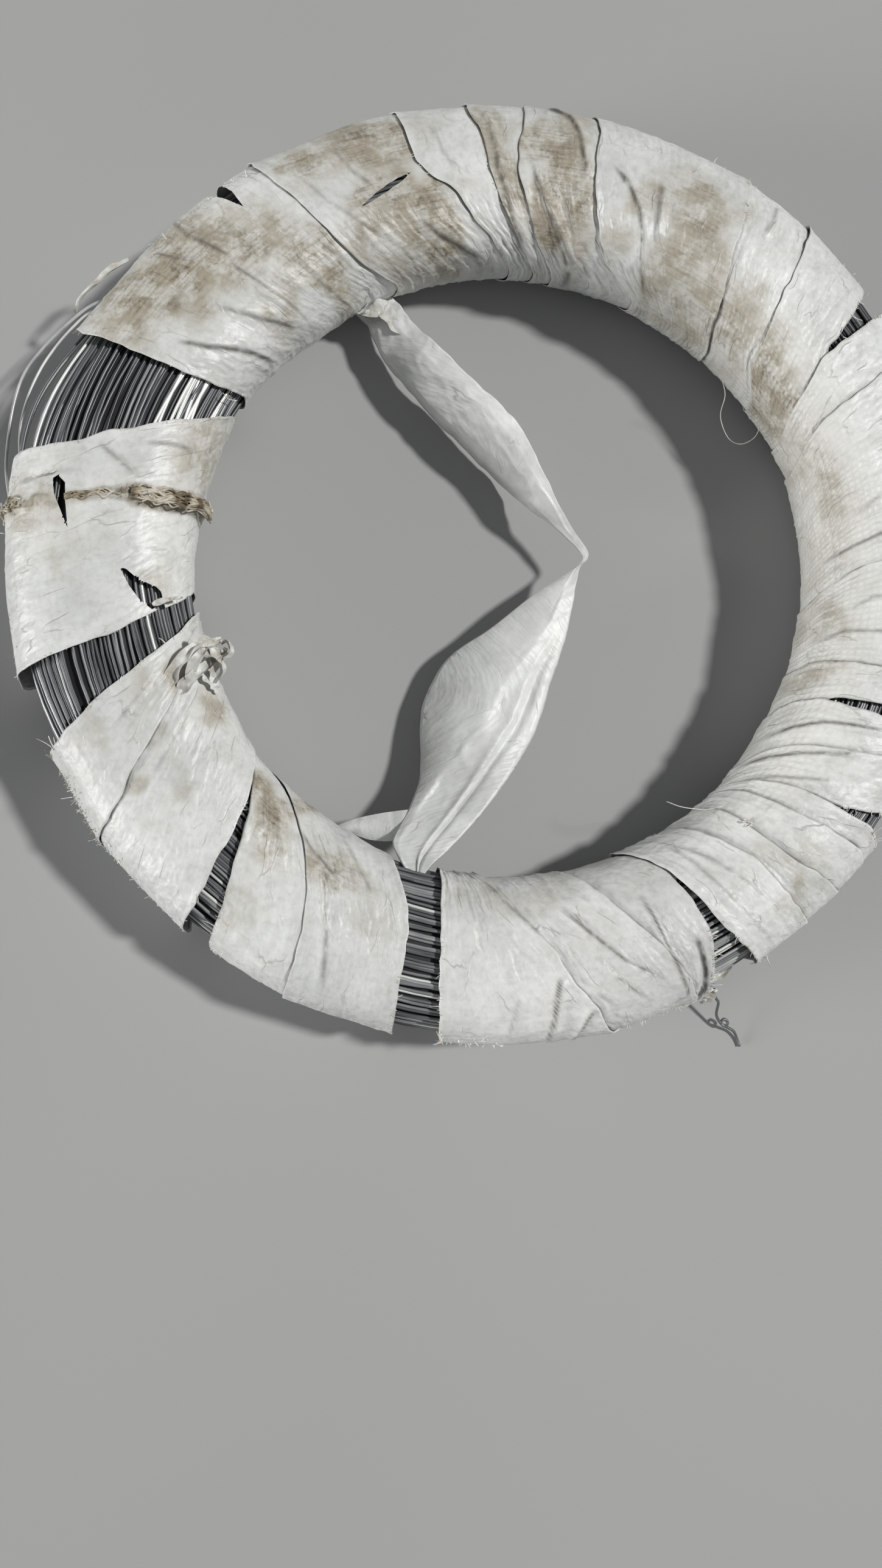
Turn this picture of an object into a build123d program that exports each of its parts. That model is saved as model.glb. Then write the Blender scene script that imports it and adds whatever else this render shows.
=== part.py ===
from build123d import *
import os
from math import copysign, cos, radians, sin, sqrt

os.makedirs("parts", exist_ok=True)

# A coil of binding wire in its wrapping of woven strip, lying flat on the floor.
# The coil's axis is Z and the floor is z = 0. Angles run anticlockwise from +X, seen from above.

# Bundle of wire turns
bundle_bore_radius = 159.0
bundle_width = 75.0
bundle_height = 66.0
section_roundness = 0.8
end_ridges = 11
ridge_depth = 1.4
end_ridge_span = 124.0
side_facets = 3

# Free end of the wire, low on the outer side
wire_diameter = 1.6
wire_sides = 8
wire_end_angle = -63.0
wire_end_root = 14.0
wire_end_height = 17.0
wire_end_drop = 5.0
wire_end_stand_off = 5.0
wire_end_reach = 26.0
wire_bend_radius = 4.0

# Woven strip wound round the bundle
strip_thickness = 1.2
wrap_clearance = 0.8
section_sides = 12
notch_overrun = 1.5

# Lengths of strip, clockwise from the bare gap at the upper left. Each edge of a turn crosses the
# ring askew: its angle at the outer side, then at the bore. A length runs on to the next one's first
# edge, unless it has a bare end of its own.
wrap_edges = {
    "wrap_upper_left": [(153.0, 148.0), (141.5, 132.0), (131.5, 123.0), (122.5, 111.5)],
    "wrap_top": [(103.5, 91.0), (94.5, 84.5), (87.0, 79.0)],
    "wrap_upper_right": [(78.0, 62.0), (61.0, 51.0), (48.0, 38.0)],
    "wrap_right": [(37.5, 30.5), (27.5, 21.0), (17.0, 10.0), (5.5, 0.0), (-8.0, -14.0)],
    "wrap_lower_right": [(-20.0, -26.0), (-27.0, -37.0), (-35.0, -43.0), (-43.5, -50.0), (-50.0, -57.0)],
    "wrap_bottom": [(-57.0, -67.0), (-66.0, -76.0), (-80.0, -92.0)],
    "wrap_low": [(-103.5, -109.0), (-118.0, -132.0)],
    "wrap_lower_left": [(-130.5, -143.0), (-144.0, -158.0)],
    "wrap_left": [(-165.7, -174.0), (-177.0, -187.0), (-186.0, -198.0)],
}
bare_ends = {
    "wrap_bottom": (-97.5, -101.5),
    "wrap_lower_left": (-156.0, -169.0),
    "wrap_left": (-190.0, -208.0),
}

# Gaps that open outwards between two turns: how far the tip lies out from the bundle's bore, its angle,
# then the angles at the rim
notches = {
    "wrap_upper_left": (58.0, 127.2, 129.6, 127.0),
    "wrap_right": (28.0, 33.3, 39.0, 34.3),
    "wrap_lower_right": (38.0, -37.7, -34.1, -36.6),
    "wrap_bottom": (20.0, -63.5, -55.0, -63.2),
    "wrap_low": (5.0, -142.5, -126.1, -133.0),
}

# Stations of the loose end, from its knot at the top to its lower end: how far each lies inside the
# bundle's bore, its angle, height and width
tail_thickness = 3.0
tail_stations = [
    (-0.2, 115.3, 46.0, 19.0), (31.0, 114.0, 43.0, 17.0), (57.0, 109.8, 39.0, 22.0),
    (79.7, 100.5, 36.0, 23.5), (103.9, 81.6, 32.0, 24.0), (118.0, 45.0, 28.0, 14.0),
    (113.3, 10.1, 27.0, 5.0), (122.8, -24.4, 27.0, 14.0), (118.8, -71.1, 28.0, 35.0),
    (93.7, -95.7, 30.0, 54.0), (62.7, -99.6, 33.0, 50.0), (32.4, -103.7, 38.0, 35.0),
    (8.6, -105.4, 43.0, 28.0), (-16.9, -104.8, 47.0, 16.0),
]

names = list(wrap_edges)
following = names[1:] + names[:1]
all_edges = {
    name: edges + [bare_ends.get(name, wrap_edges[after][0])]
    for (name, edges), after in zip(wrap_edges.items(), following)
}
widest_span = max(
    first[0] - second[0] for edges in all_edges.values() for first, second in zip(edges, edges[1:])
)

# The wrap's section stands clear of the bundle, also where a taut turn cuts across the round
bundle_mid_radius = bundle_bore_radius + bundle_width / 2
side_step = 360.0 / section_sides
side_factor = 1 / cos(radians(side_step / 2))
flat_share = cos(radians(side_step / 2)) ** section_roundness
chord_rise = (bundle_bore_radius + bundle_width) * (1 / cos(radians(widest_span / 2)) - 1)
wrap_bore_half = (bundle_width / 2 + wrap_clearance) * side_factor
wrap_outer_half = wrap_bore_half + chord_rise
wrap_half_height = (bundle_height / 2 + wrap_clearance) * side_factor
middle_height = wrap_half_height * flat_share + strip_thickness
rim_radius = bundle_mid_radius + wrap_outer_half + 2 * strip_thickness
bore_radius = bundle_mid_radius - wrap_bore_half - 2 * strip_thickness


def round_section_point(turn, bore_half, outer_half, half_height):
    """Radius and height of the rounded section at an angle round its middle."""
    across = copysign(abs(cos(radians(turn))) ** section_roundness, cos(radians(turn)))
    up = copysign(abs(sin(radians(turn))) ** section_roundness, sin(radians(turn)))
    half = outer_half if across > 0 else bore_half
    return bundle_mid_radius + half * across, middle_height + half_height * up


def plan_point(radius, angle):
    return Vector(radius * cos(radians(angle)), radius * sin(radians(angle)), 0)


def wrap_section(edge, outset):
    """Corners of the wrap's section along a strip edge, grown by an outset."""
    outer = plan_point(rim_radius, edge[0])
    inner = plan_point(bore_radius, edge[1])
    along = (outer - inner).normalized()
    foot = outer - along * outer.dot(along)
    corners = []
    for side in range(section_sides):
        turn = side_step * (side + 0.5)
        radius, height = round_section_point(
            turn, wrap_bore_half + outset, wrap_outer_half + outset, wrap_half_height + outset
        )
        corners.append(foot + along * sqrt(radius**2 - foot.length**2) + Vector(0, 0, height))
    return corners


def folded_solid(first, second):
    """Solid between two sections of like corners, with each side folded into two flat triangles."""
    faces = [Face(Wire.make_polygon(first)), Face(Wire.make_polygon(second))]
    for here in range(len(first)):
        after = (here + 1) % len(first)
        faces.append(Face(Wire.make_polygon([first[here], first[after], second[here]])))
        faces.append(Face(Wire.make_polygon([first[after], second[after], second[here]])))
    return Solid(Shell(faces))


def wrap_envelope(edges):
    """Outer form of a wound strip: each turn starts thick on its neighbour's edge and thins to the next."""
    with BuildPart() as envelope:
        for upper, lower in zip(edges, edges[1:]):
            add(folded_solid(wrap_section(upper, 2 * strip_thickness), wrap_section(lower, strip_thickness)))
    return envelope.part


def wound_wrap(name):
    """Strip wound round the bundle, open where its turns part and flat where it rests on the floor."""
    edges = all_edges[name]
    with BuildPart() as wrap:
        add(wrap_envelope(edges))
        for upper, lower in zip(edges, edges[1:]):
            add(folded_solid(wrap_section(upper, 0), wrap_section(lower, 0)), mode=Mode.SUBTRACT)
        split(bisect_by=Plane.XY, keep=Keep.TOP)
        if name in notches:
            tip_reach, tip_angle, rim_start, rim_end = notches[name]
            tip = plan_point(bundle_bore_radius + tip_reach, tip_angle)
            start_side = (plan_point(rim_radius, rim_start) - tip) * notch_overrun
            end_side = (plan_point(rim_radius, rim_end) - tip) * notch_overrun
            with BuildSketch():
                with BuildLine():
                    Polyline(tip, tip + end_side, tip + start_side, close=True)
                make_face()
            extrude(amount=2 * middle_height * notch_overrun, mode=Mode.SUBTRACT)
    wrap.part.label = name
    return wrap.part


def ridged_end(first_turn):
    """Tips and grooves of the wire turns over one end of the bundle."""
    points = []
    steps = 2 * (end_ridges - 1)
    for step in range(steps + 1):
        turn = first_turn + end_ridge_span * step / steps
        depth = ridge_depth if step % 2 else 0
        half = bundle_width / 2 - depth
        points.append(round_section_point(turn, half, half, bundle_height / 2 - depth))
    return points


def plain_side(first_turn):
    """Points down one side of the bundle, between its ridged ends."""
    span = 180 - end_ridge_span
    half = bundle_width / 2
    return [
        round_section_point(first_turn + span * step / side_facets, half, half, bundle_height / 2)
        for step in range(1, side_facets)
    ]


end_start = 90 - end_ridge_span / 2
with BuildPart() as wire_coil:
    with BuildSketch(Plane.XZ):
        with BuildLine():
            Polyline(
                *ridged_end(end_start),
                *plain_side(180 - end_start),
                *ridged_end(180 + end_start),
                *plain_side(360 - end_start),
                close=True,
            )
        make_face()
    revolve(axis=Axis.Z)
    outward = plan_point(1, wire_end_angle)
    root_radius = bundle_bore_radius + bundle_width - wire_end_root
    end_plane = Plane(origin=(0, 0, 0), x_dir=outward, z_dir=outward.cross(Vector(0, 0, 1)))
    with BuildLine(end_plane) as wire_end:
        FilletPolyline(
            (root_radius, wire_end_height + wire_end_drop),
            (rim_radius + wire_end_stand_off, wire_end_height),
            (rim_radius + wire_end_reach / 2, wire_diameter / 2),
            (rim_radius + wire_end_reach, wire_diameter / 2),
            radius=wire_bend_radius,
        )
    with BuildSketch(Plane(origin=wire_end.line @ 0, z_dir=wire_end.line % 0)):
        RegularPolygon(radius=wire_diameter / 2, side_count=wire_sides)
    sweep(path=wire_end.line)
wire_coil.part.label = "wire_coil"

wraps = [wound_wrap(name) for name in names]

with BuildPart() as tail_strip:
    centres = [
        plan_point(bundle_bore_radius - inset, angle) + Vector(0, 0, height)
        for inset, angle, height, width in tail_stations
    ]
    ahead = centres[1:] + centres[-1:]
    behind = centres[:1] + centres[:-1]
    sections = []
    for centre, after, before, station in zip(centres, ahead, behind, tail_stations):
        heading = after - before
        level_heading = Vector(heading.X, heading.Y, 0).normalized()
        side = level_heading.cross(Vector(0, 0, 1)) * (station[3] / 2)
        rise = Vector(0, 0, tail_thickness / 2)
        sections.append([centre + side + rise, centre - side + rise, centre - side - rise, centre + side - rise])
    for first, second in zip(sections, sections[1:]):
        add(folded_solid(first, second))
    for name in ("wrap_upper_left", "wrap_bottom", "wrap_low"):
        add(wrap_envelope(all_edges[name]), mode=Mode.SUBTRACT)
    add(wire_coil.part, mode=Mode.SUBTRACT)
tail_strip.part.label = "tail_strip"

for piece in (wire_coil.part, *wraps, tail_strip.part):
    export_step(piece, f"parts/{piece.label}.step")
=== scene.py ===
import math

import bpy
import numpy as np
from mathutils import Euler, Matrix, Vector
from mathutils.bvhtree import BVHTree


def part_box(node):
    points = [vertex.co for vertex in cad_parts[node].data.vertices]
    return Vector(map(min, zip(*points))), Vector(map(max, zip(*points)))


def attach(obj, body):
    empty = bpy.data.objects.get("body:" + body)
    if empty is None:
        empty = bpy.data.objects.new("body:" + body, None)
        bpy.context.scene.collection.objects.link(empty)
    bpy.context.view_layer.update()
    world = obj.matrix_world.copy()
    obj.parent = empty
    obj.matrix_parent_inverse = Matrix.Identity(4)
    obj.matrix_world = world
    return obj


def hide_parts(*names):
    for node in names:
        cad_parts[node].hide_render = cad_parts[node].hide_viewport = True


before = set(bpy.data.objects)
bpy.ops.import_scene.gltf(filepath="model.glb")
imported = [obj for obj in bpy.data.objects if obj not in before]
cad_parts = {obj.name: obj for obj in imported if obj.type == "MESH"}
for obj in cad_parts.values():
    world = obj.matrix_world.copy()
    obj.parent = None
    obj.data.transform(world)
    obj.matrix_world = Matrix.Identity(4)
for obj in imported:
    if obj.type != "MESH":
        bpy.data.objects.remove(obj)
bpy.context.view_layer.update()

# A coil of binding wire wound round with woven strip. Lengths are in millimetres and angles in
# degrees, anticlockwise from +X seen from above. A turn is an angle round the coil's section:
# 0 at the outer side, 90 on top, 180 at the bore and 270 underneath.
MM = 0.001
coil_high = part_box("wire_coil")[1]

# Section of the coil and of the wrapping over it
RING_MIDDLE = 196.5
BUNDLE_HALF_WIDTH = 37.5
BORE_SLACK = 1.6
BUNDLE_SWELL = 0.85
BUNDLE_TOP = coil_high.z / MM
BUNDLE_HALF_HEIGHT = 33.0
MIDDLE_HEIGHT = BUNDLE_TOP - BUNDLE_HALF_HEIGHT
OUTER_HALF = 42.0
BORE_HALF = 39.6
WRAP_HALF_HEIGHT = 34.6
ROUNDNESS = 0.8
FLOOR_GAP = 0.3

# How far the outer side bulges past a true circle, and the bore side into the bore, round the ring
OUTER_SWELL = [(0, -1.5), (30, 0), (120, 1), (140, 2), (152, 3), (163, 7), (172, 9), (185, 9), (197, 6),
               (207, 2), (235, 0), (270, 0), (285, -1), (300, -4), (315, -5.5), (330, -5), (345, -3),
               (360, -1.5)]
BORE_SWELL = [(0, -4), (20, -5), (40, -4), (60, -3), (80, -3), (105, -2), (120, -1), (150, -1), (185, 0),
              (200, 2), (215, 1), (235, 0), (300, -1), (330, -1), (360, -4)]

# Wire
WIRE_DIAMETER = 1.6
WIRE_PITCH = 1.5
WIRE_SIDES = 6
WIRE_STEPS = 120
CROSSING_WIRES = 14
BULGED_WIRES = 9

# Share of the wires that lie slack, the grey levels that a wire's tint is drawn from, and their shares
SLACK_WIRES = 0.2
WIRE_TINTS = [0.2, 0.35, 0.45, 0.55, 0.75, 1.0]
TINT_SHARES = [0.24, 0.28, 0.25, 0.13, 0.07, 0.03]

# Upward share of a heading past which a tube takes its sides from X in place of Z
STEEP = 0.9

# Mesh spacing of the strip
TOP_SPACING = 0.9
SIDE_SPACING = 2.0
UNDER_SPACING = 7.0
ACROSS_SPACING = 1.0
TAPE_WIDTH = 3.2


def swell(table, angle):
    return np.interp(np.mod(angle, 360), *zip(*table))


def rounded(turn):
    """How far across and up, from -1 to 1, the rounded section reaches at a turn."""
    across, up = np.cos(np.radians(turn)), np.sin(np.radians(turn))
    return np.copysign(np.abs(across) ** ROUNDNESS, across), np.copysign(np.abs(up) ** ROUNDNESS, up)


def swollen_point(angle, turn, outset, halves, outer_share=1.0):
    """Points at ring angles and turns of a section that swells round the ring, as rows of x, y, z."""
    angle, turn, outset = np.broadcast_arrays(np.asarray(angle, float), turn, outset)
    across, up = rounded(turn)
    outer_half, bore_half, half_height = halves
    outer = outer_half + outer_share * swell(OUTER_SWELL, angle)
    bore = bore_half + swell(BORE_SWELL, angle)
    radius = RING_MIDDLE + (np.where(across > 0, outer, bore) + outset) * across
    height = MIDDLE_HEIGHT + (half_height + outset) * up
    return np.stack([radius * np.cos(np.radians(angle)), radius * np.sin(np.radians(angle)), height], -1)


def section_point(angle, turn, outset=0.0):
    """Points of the wrap's surface, grown by an outset."""
    return swollen_point(angle, turn, outset, (OUTER_HALF, BORE_HALF, WRAP_HALF_HEIGHT))


def bundle_point(angle, turn, depth):
    """Points of the wire bundle's surface, sunk by a depth."""
    halves = (BUNDLE_HALF_WIDTH, BUNDLE_HALF_WIDTH + BORE_SLACK, BUNDLE_HALF_HEIGHT)
    return swollen_point(angle, turn, -np.asarray(depth), halves, BUNDLE_SWELL)


def run_length(points):
    """How far along a line each of its points lies."""
    return np.concatenate([[0], np.cumsum(np.linalg.norm(np.diff(points, axis=0), axis=1))])


def unit(vectors):
    """Vectors scaled to length one."""
    return vectors / (np.linalg.norm(vectors, axis=-1, keepdims=True) + 1e-9)


def plan_point(radius, angle):
    return np.array([radius * math.cos(math.radians(angle)), radius * math.sin(math.radians(angle))])


def turn_of_radius(radius):
    """Turn at which the upper side of the section has this radius."""
    half = OUTER_HALF if radius > RING_MIDDLE else BORE_HALF
    across = max(-1.0, min(1.0, (radius - RING_MIDDLE) / half))
    return math.degrees(math.acos(math.copysign(abs(across) ** (1 / ROUNDNESS), across)))


def smoothstep(value, low, high):
    share = np.clip((value - low) / (high - low), 0, 1)
    return share * share * (3 - 2 * share)


def lattice_noise(x, y, seed):
    """Smooth noise from -1 to 1, with cells one unit wide."""
    size = 64
    table = np.random.default_rng(seed).uniform(-1, 1, (size, size))
    column, row = np.floor(x).astype(int), np.floor(y).astype(int)
    right, upper = x - column, y - row
    right, upper = right * right * (3 - 2 * right), upper * upper * (3 - 2 * upper)
    low = table[column % size, row % size] * (1 - right) + table[(column + 1) % size, row % size] * right
    high = (table[column % size, (row + 1) % size] * (1 - right)
            + table[(column + 1) % size, (row + 1) % size] * right)
    return low * (1 - upper) + high * upper


def spaced_turns():
    """Turns round the section, close on top and wider underneath."""
    fine = np.arange(-90.0, 270.0, 0.25)
    points = section_point(0.0, fine)
    steps = np.linalg.norm(np.roll(points, -1, 0) - points, axis=1)
    height = np.sin(np.radians(fine))
    spacing = np.where(height > 0.35, TOP_SPACING, np.where(height > -0.8, SIDE_SPACING, UNDER_SPACING))
    reached = np.concatenate([[0], np.cumsum(steps / spacing)])
    count = round(reached[-1])
    return np.interp(np.arange(count) * reached[-1] / count, reached, np.append(fine, 270.0))


TURNS = spaced_turns()
LENGTHS = run_length(section_point(0.0, TURNS))

# Edges of the strip's turns, each as (radius, angle) down the upper side from the outer wall to the bore
EDGES = {
    "gap_a_upper": [(250, 147.5), (240, 151), (230, 152.6), (208, 152.2), (190, 151.6), (180, 151.1),
        (165, 149.6), (151, 146.4)],
    "clean_upper_left": [(250, 122.6), (229, 122.7), (214, 121.8), (200, 120.5), (183, 119), (164, 115.8),
        (155, 109.7)],
    "curled": [(250, 103.9), (214, 103.3), (201, 102.9), (195, 101.6), (190, 100.5), (187, 98.9),
        (181, 97.4), (170, 95.3), (164, 92.5), (156, 88)],
    "ragged_top": [(250, 95.5), (236, 94.8), (224, 94.6), (209, 93.1), (199, 92.7), (185, 91.7),
        (174, 90.4), (165, 88), (155, 83.5)],
    "deep_top": [(250, 87), (236, 87.3), (213, 87.7), (206, 88.3), (190, 88.2), (176, 86.4), (165, 84.8),
        (155, 80)],
    "band_top": [(250, 79.2), (233, 78.4), (221, 77.6), (205, 77.3), (185, 76.1), (168, 73.6), (161, 71),
        (156, 64)],
    "corner_out": [(250, 61.3), (234, 57.6), (215, 55.8), (199, 54.2), (187, 53), (170, 50.5), (156, 47)],
    "upper_right": [(250, 49.8), (236, 48.5), (222, 47), (205, 45.2), (185, 43.1), (172, 41), (161, 39.2),
        (154, 34)],
    "notch_g_upper": [(250, 40), (240, 38.8), (223, 36.5), (205, 34.6), (187, 32.7), (170, 29.5),
        (155, 25)],
    "notch_g_lower": [(250, 33.4), (226, 33.8), (205, 33.3), (187, 32.7), (170, 29.5), (155, 25)],
    "faint_right": [(250, 29), (236, 28.4), (210, 26.7), (190, 25.3), (172, 24), (155, 19)],
    "right": [(250, 2.2), (210, 1), (185, -0.3), (172, -1.6), (159, -5.1), (154, -7)],
    "low_right": [(250, -14.5), (220, -15.3), (191, -16.4), (164, -17.6), (154, -19.5)],
    "notch_f_upper": [(250, -18.6), (220, -20.6), (197, -21.6), (183, -22.4), (174, -23.3), (170, -23.8),
        (160, -26), (154, -28.5)],
    "notch_f_lower": [(250, -22.2), (220, -22.7), (197, -23.2), (183, -23.8), (174, -23.9), (170, -23.8),
        (160, -26), (154, -28.5)],
    "swept_right": [(250, -26.5), (225, -27), (207, -28.1), (190, -30), (178, -31.5), (168, -33.5),
        (160, -36.5), (153, -40.5)],
    "notch_e_upper": [(250, -31.3), (235, -33.2), (222, -34.8), (197, -37.7), (180, -39), (168, -41),
        (158, -44.5), (153, -46.5)],
    "notch_e_lower": [(250, -37.6), (235, -37), (222, -36.7), (197, -37.7), (180, -39), (168, -41),
        (158, -44.5), (153, -46.5)],
    "strand_one": [(250, -40.5), (226, -39.6), (203, -40.7), (188, -42), (173, -43.4), (164, -44.4),
        (157, -47.5), (153, -50)],
    "strand_knot": [(250, -43.5), (236, -44.6), (217, -45.9), (200, -47.3), (184, -48.2), (175, -48.6),
        (164, -49.4), (157, -51.9), (153, -54.5)],
    "strand_three": [(250, -49.5), (222, -50.6), (205, -50.8), (189, -51.2), (176, -53), (167, -54.6),
        (158, -57.6), (153, -60.5)],
    "gap_d_upper": [(250, -57), (240, -57.5), (229, -58.4), (215, -59.6), (200, -60.8), (181, -62.2),
        (171, -63.6), (163, -65.6), (155, -69)],
    "gap_d_lower": [(246, -65.2), (238, -64.4), (230, -64), (216, -62.7), (206, -62), (197, -62.1),
        (189, -62.3), (181, -62.8), (174, -63.4), (171, -63.6), (163, -65.6), (155, -69)],
    "strand_bottom": [(246, -66.2), (236, -66.4), (223, -66.9), (212, -67.9), (201, -69.1), (190, -71),
        (181, -72.7), (172, -74.5), (165, -76.5), (155, -80.5)],
    "pleat_bottom": [(246, -75.5), (239, -76.5), (222, -79), (199, -82.7), (183, -86.1), (174, -88.7),
        (158, -93.8), (153, -95.5)],
    "gap_c_right": [(250, -97.4), (225, -98.4), (205, -99.3), (180, -100.5), (159, -101.6), (153, -102)],
    "gap_c_left": [(248, -103.2), (225, -103.8), (209, -104.2), (190, -104.6), (179, -105.5),
        (170, -107.4), (162, -109.6), (155, -112)],
    "low": [(250, -116.5), (220, -117.4), (207, -118.2), (195, -119.5), (186, -121), (177, -123.1),
        (169, -126.1), (163, -129.5), (158, -133.5), (153, -138)],
    "notch_c_right": [(250, -126), (238, -126.7), (218, -128.3), (203, -130.2), (190, -132.2),
        (177, -134.5), (169, -136.8), (160, -140.2), (153, -143.6)],
    "notch_c_left": [(250, -130), (240, -130.6), (224, -131.1), (209, -132.1), (195, -133.3),
        (183, -134.6), (175, -135.7), (168, -137.6), (160, -140.4), (153, -143.8)],
    "lower_left": [(250, -144), (238, -144.4), (228, -145.6), (216, -147), (199, -150.4), (190, -152.2),
        (179, -154.9), (170, -158.2), (161, -162.6), (153, -167)],
    "gap_b_lower": [(250, -154.8), (243, -155.8), (231, -156.6), (215, -158.3), (197, -160.7),
        (182, -162.9), (167, -165.5), (160, -168.3), (154, -171.1)],
    "gap_b_upper": [(250, -165), (240, -165.8), (228, -166), (208, -166.7), (197, -167.2), (188, -168),
        (179, -169), (170, -170.1), (160, -172.2), (152, -174.8)],
    "gap_a_lower": [(250, -189.6), (240, -190.8), (224, -192.4), (209, -194), (203, -195.6), (196, -197),
        (188, -198.2), (175, -201.2), (160, -206), (152, -209.5)],
}

# Turns of strip, clockwise from the gap at the upper left: the node that each belongs to, its first and
# last edge, and how each edge lies: bare, over its neighbour or under it
STRIP_TURNS = [
    ("wrap_upper_left", "gap_a_upper", "clean_upper_left", "bare", "under"),
    ("wrap_upper_left", "clean_upper_left", "curled", "over", "under"),
    ("wrap_top", "curled", "ragged_top", "over", "under"),
    ("wrap_top", "ragged_top", "deep_top", "over", "under"),
    ("wrap_top", "deep_top", "band_top", "over", "under"),
    ("wrap_upper_right", "band_top", "corner_out", "over", "over"),
    ("wrap_upper_right", "corner_out", "upper_right", "under", "under"),
    ("wrap_upper_right", "upper_right", "notch_g_upper", "over", "under"),
    ("wrap_right", "notch_g_lower", "faint_right", "over", "under"),
    ("wrap_right", "faint_right", "right", "over", "under"),
    ("wrap_right", "right", "low_right", "over", "under"),
    ("wrap_right", "low_right", "notch_f_upper", "over", "under"),
    ("wrap_lower_right", "notch_f_lower", "swept_right", "over", "under"),
    ("wrap_lower_right", "swept_right", "notch_e_upper", "over", "under"),
    ("wrap_lower_right", "notch_e_lower", "strand_one", "over", "under"),
    ("wrap_lower_right", "strand_one", "strand_knot", "over", "under"),
    ("wrap_lower_right", "strand_knot", "strand_three", "over", "under"),
    ("wrap_lower_right", "strand_three", "gap_d_upper", "over", "over"),
    ("wrap_bottom", "gap_d_lower", "strand_bottom", "under", "under"),
    ("wrap_bottom", "strand_bottom", "pleat_bottom", "over", "under"),
    ("wrap_bottom", "pleat_bottom", "gap_c_right", "over", "bare"),
    ("wrap_low", "gap_c_left", "low", "bare", "over"),
    ("wrap_low", "low", "notch_c_right", "under", "under"),
    ("wrap_lower_left", "notch_c_left", "lower_left", "over", "under"),
    ("wrap_lower_left", "lower_left", "gap_b_lower", "over", "bare"),
    ("wrap_left", "gap_b_upper", "gap_a_lower", "bare", "bare"),
]

# How high the edges of a turn stand over the wrap's surface, how far it rounds with the ring where 0 is
# taut, and how far, in how many columns and how deep an edge runs on under its neighbour
EDGE_HEIGHTS = {"bare": 0.8, "over": 1.35, "under": 0.5}
ROUNDED_SHARE = 0.7
HIDDEN_REACH = 0.35
HIDDEN_COLUMNS = 5
HIDDEN_DEPTH = 0.7

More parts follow.
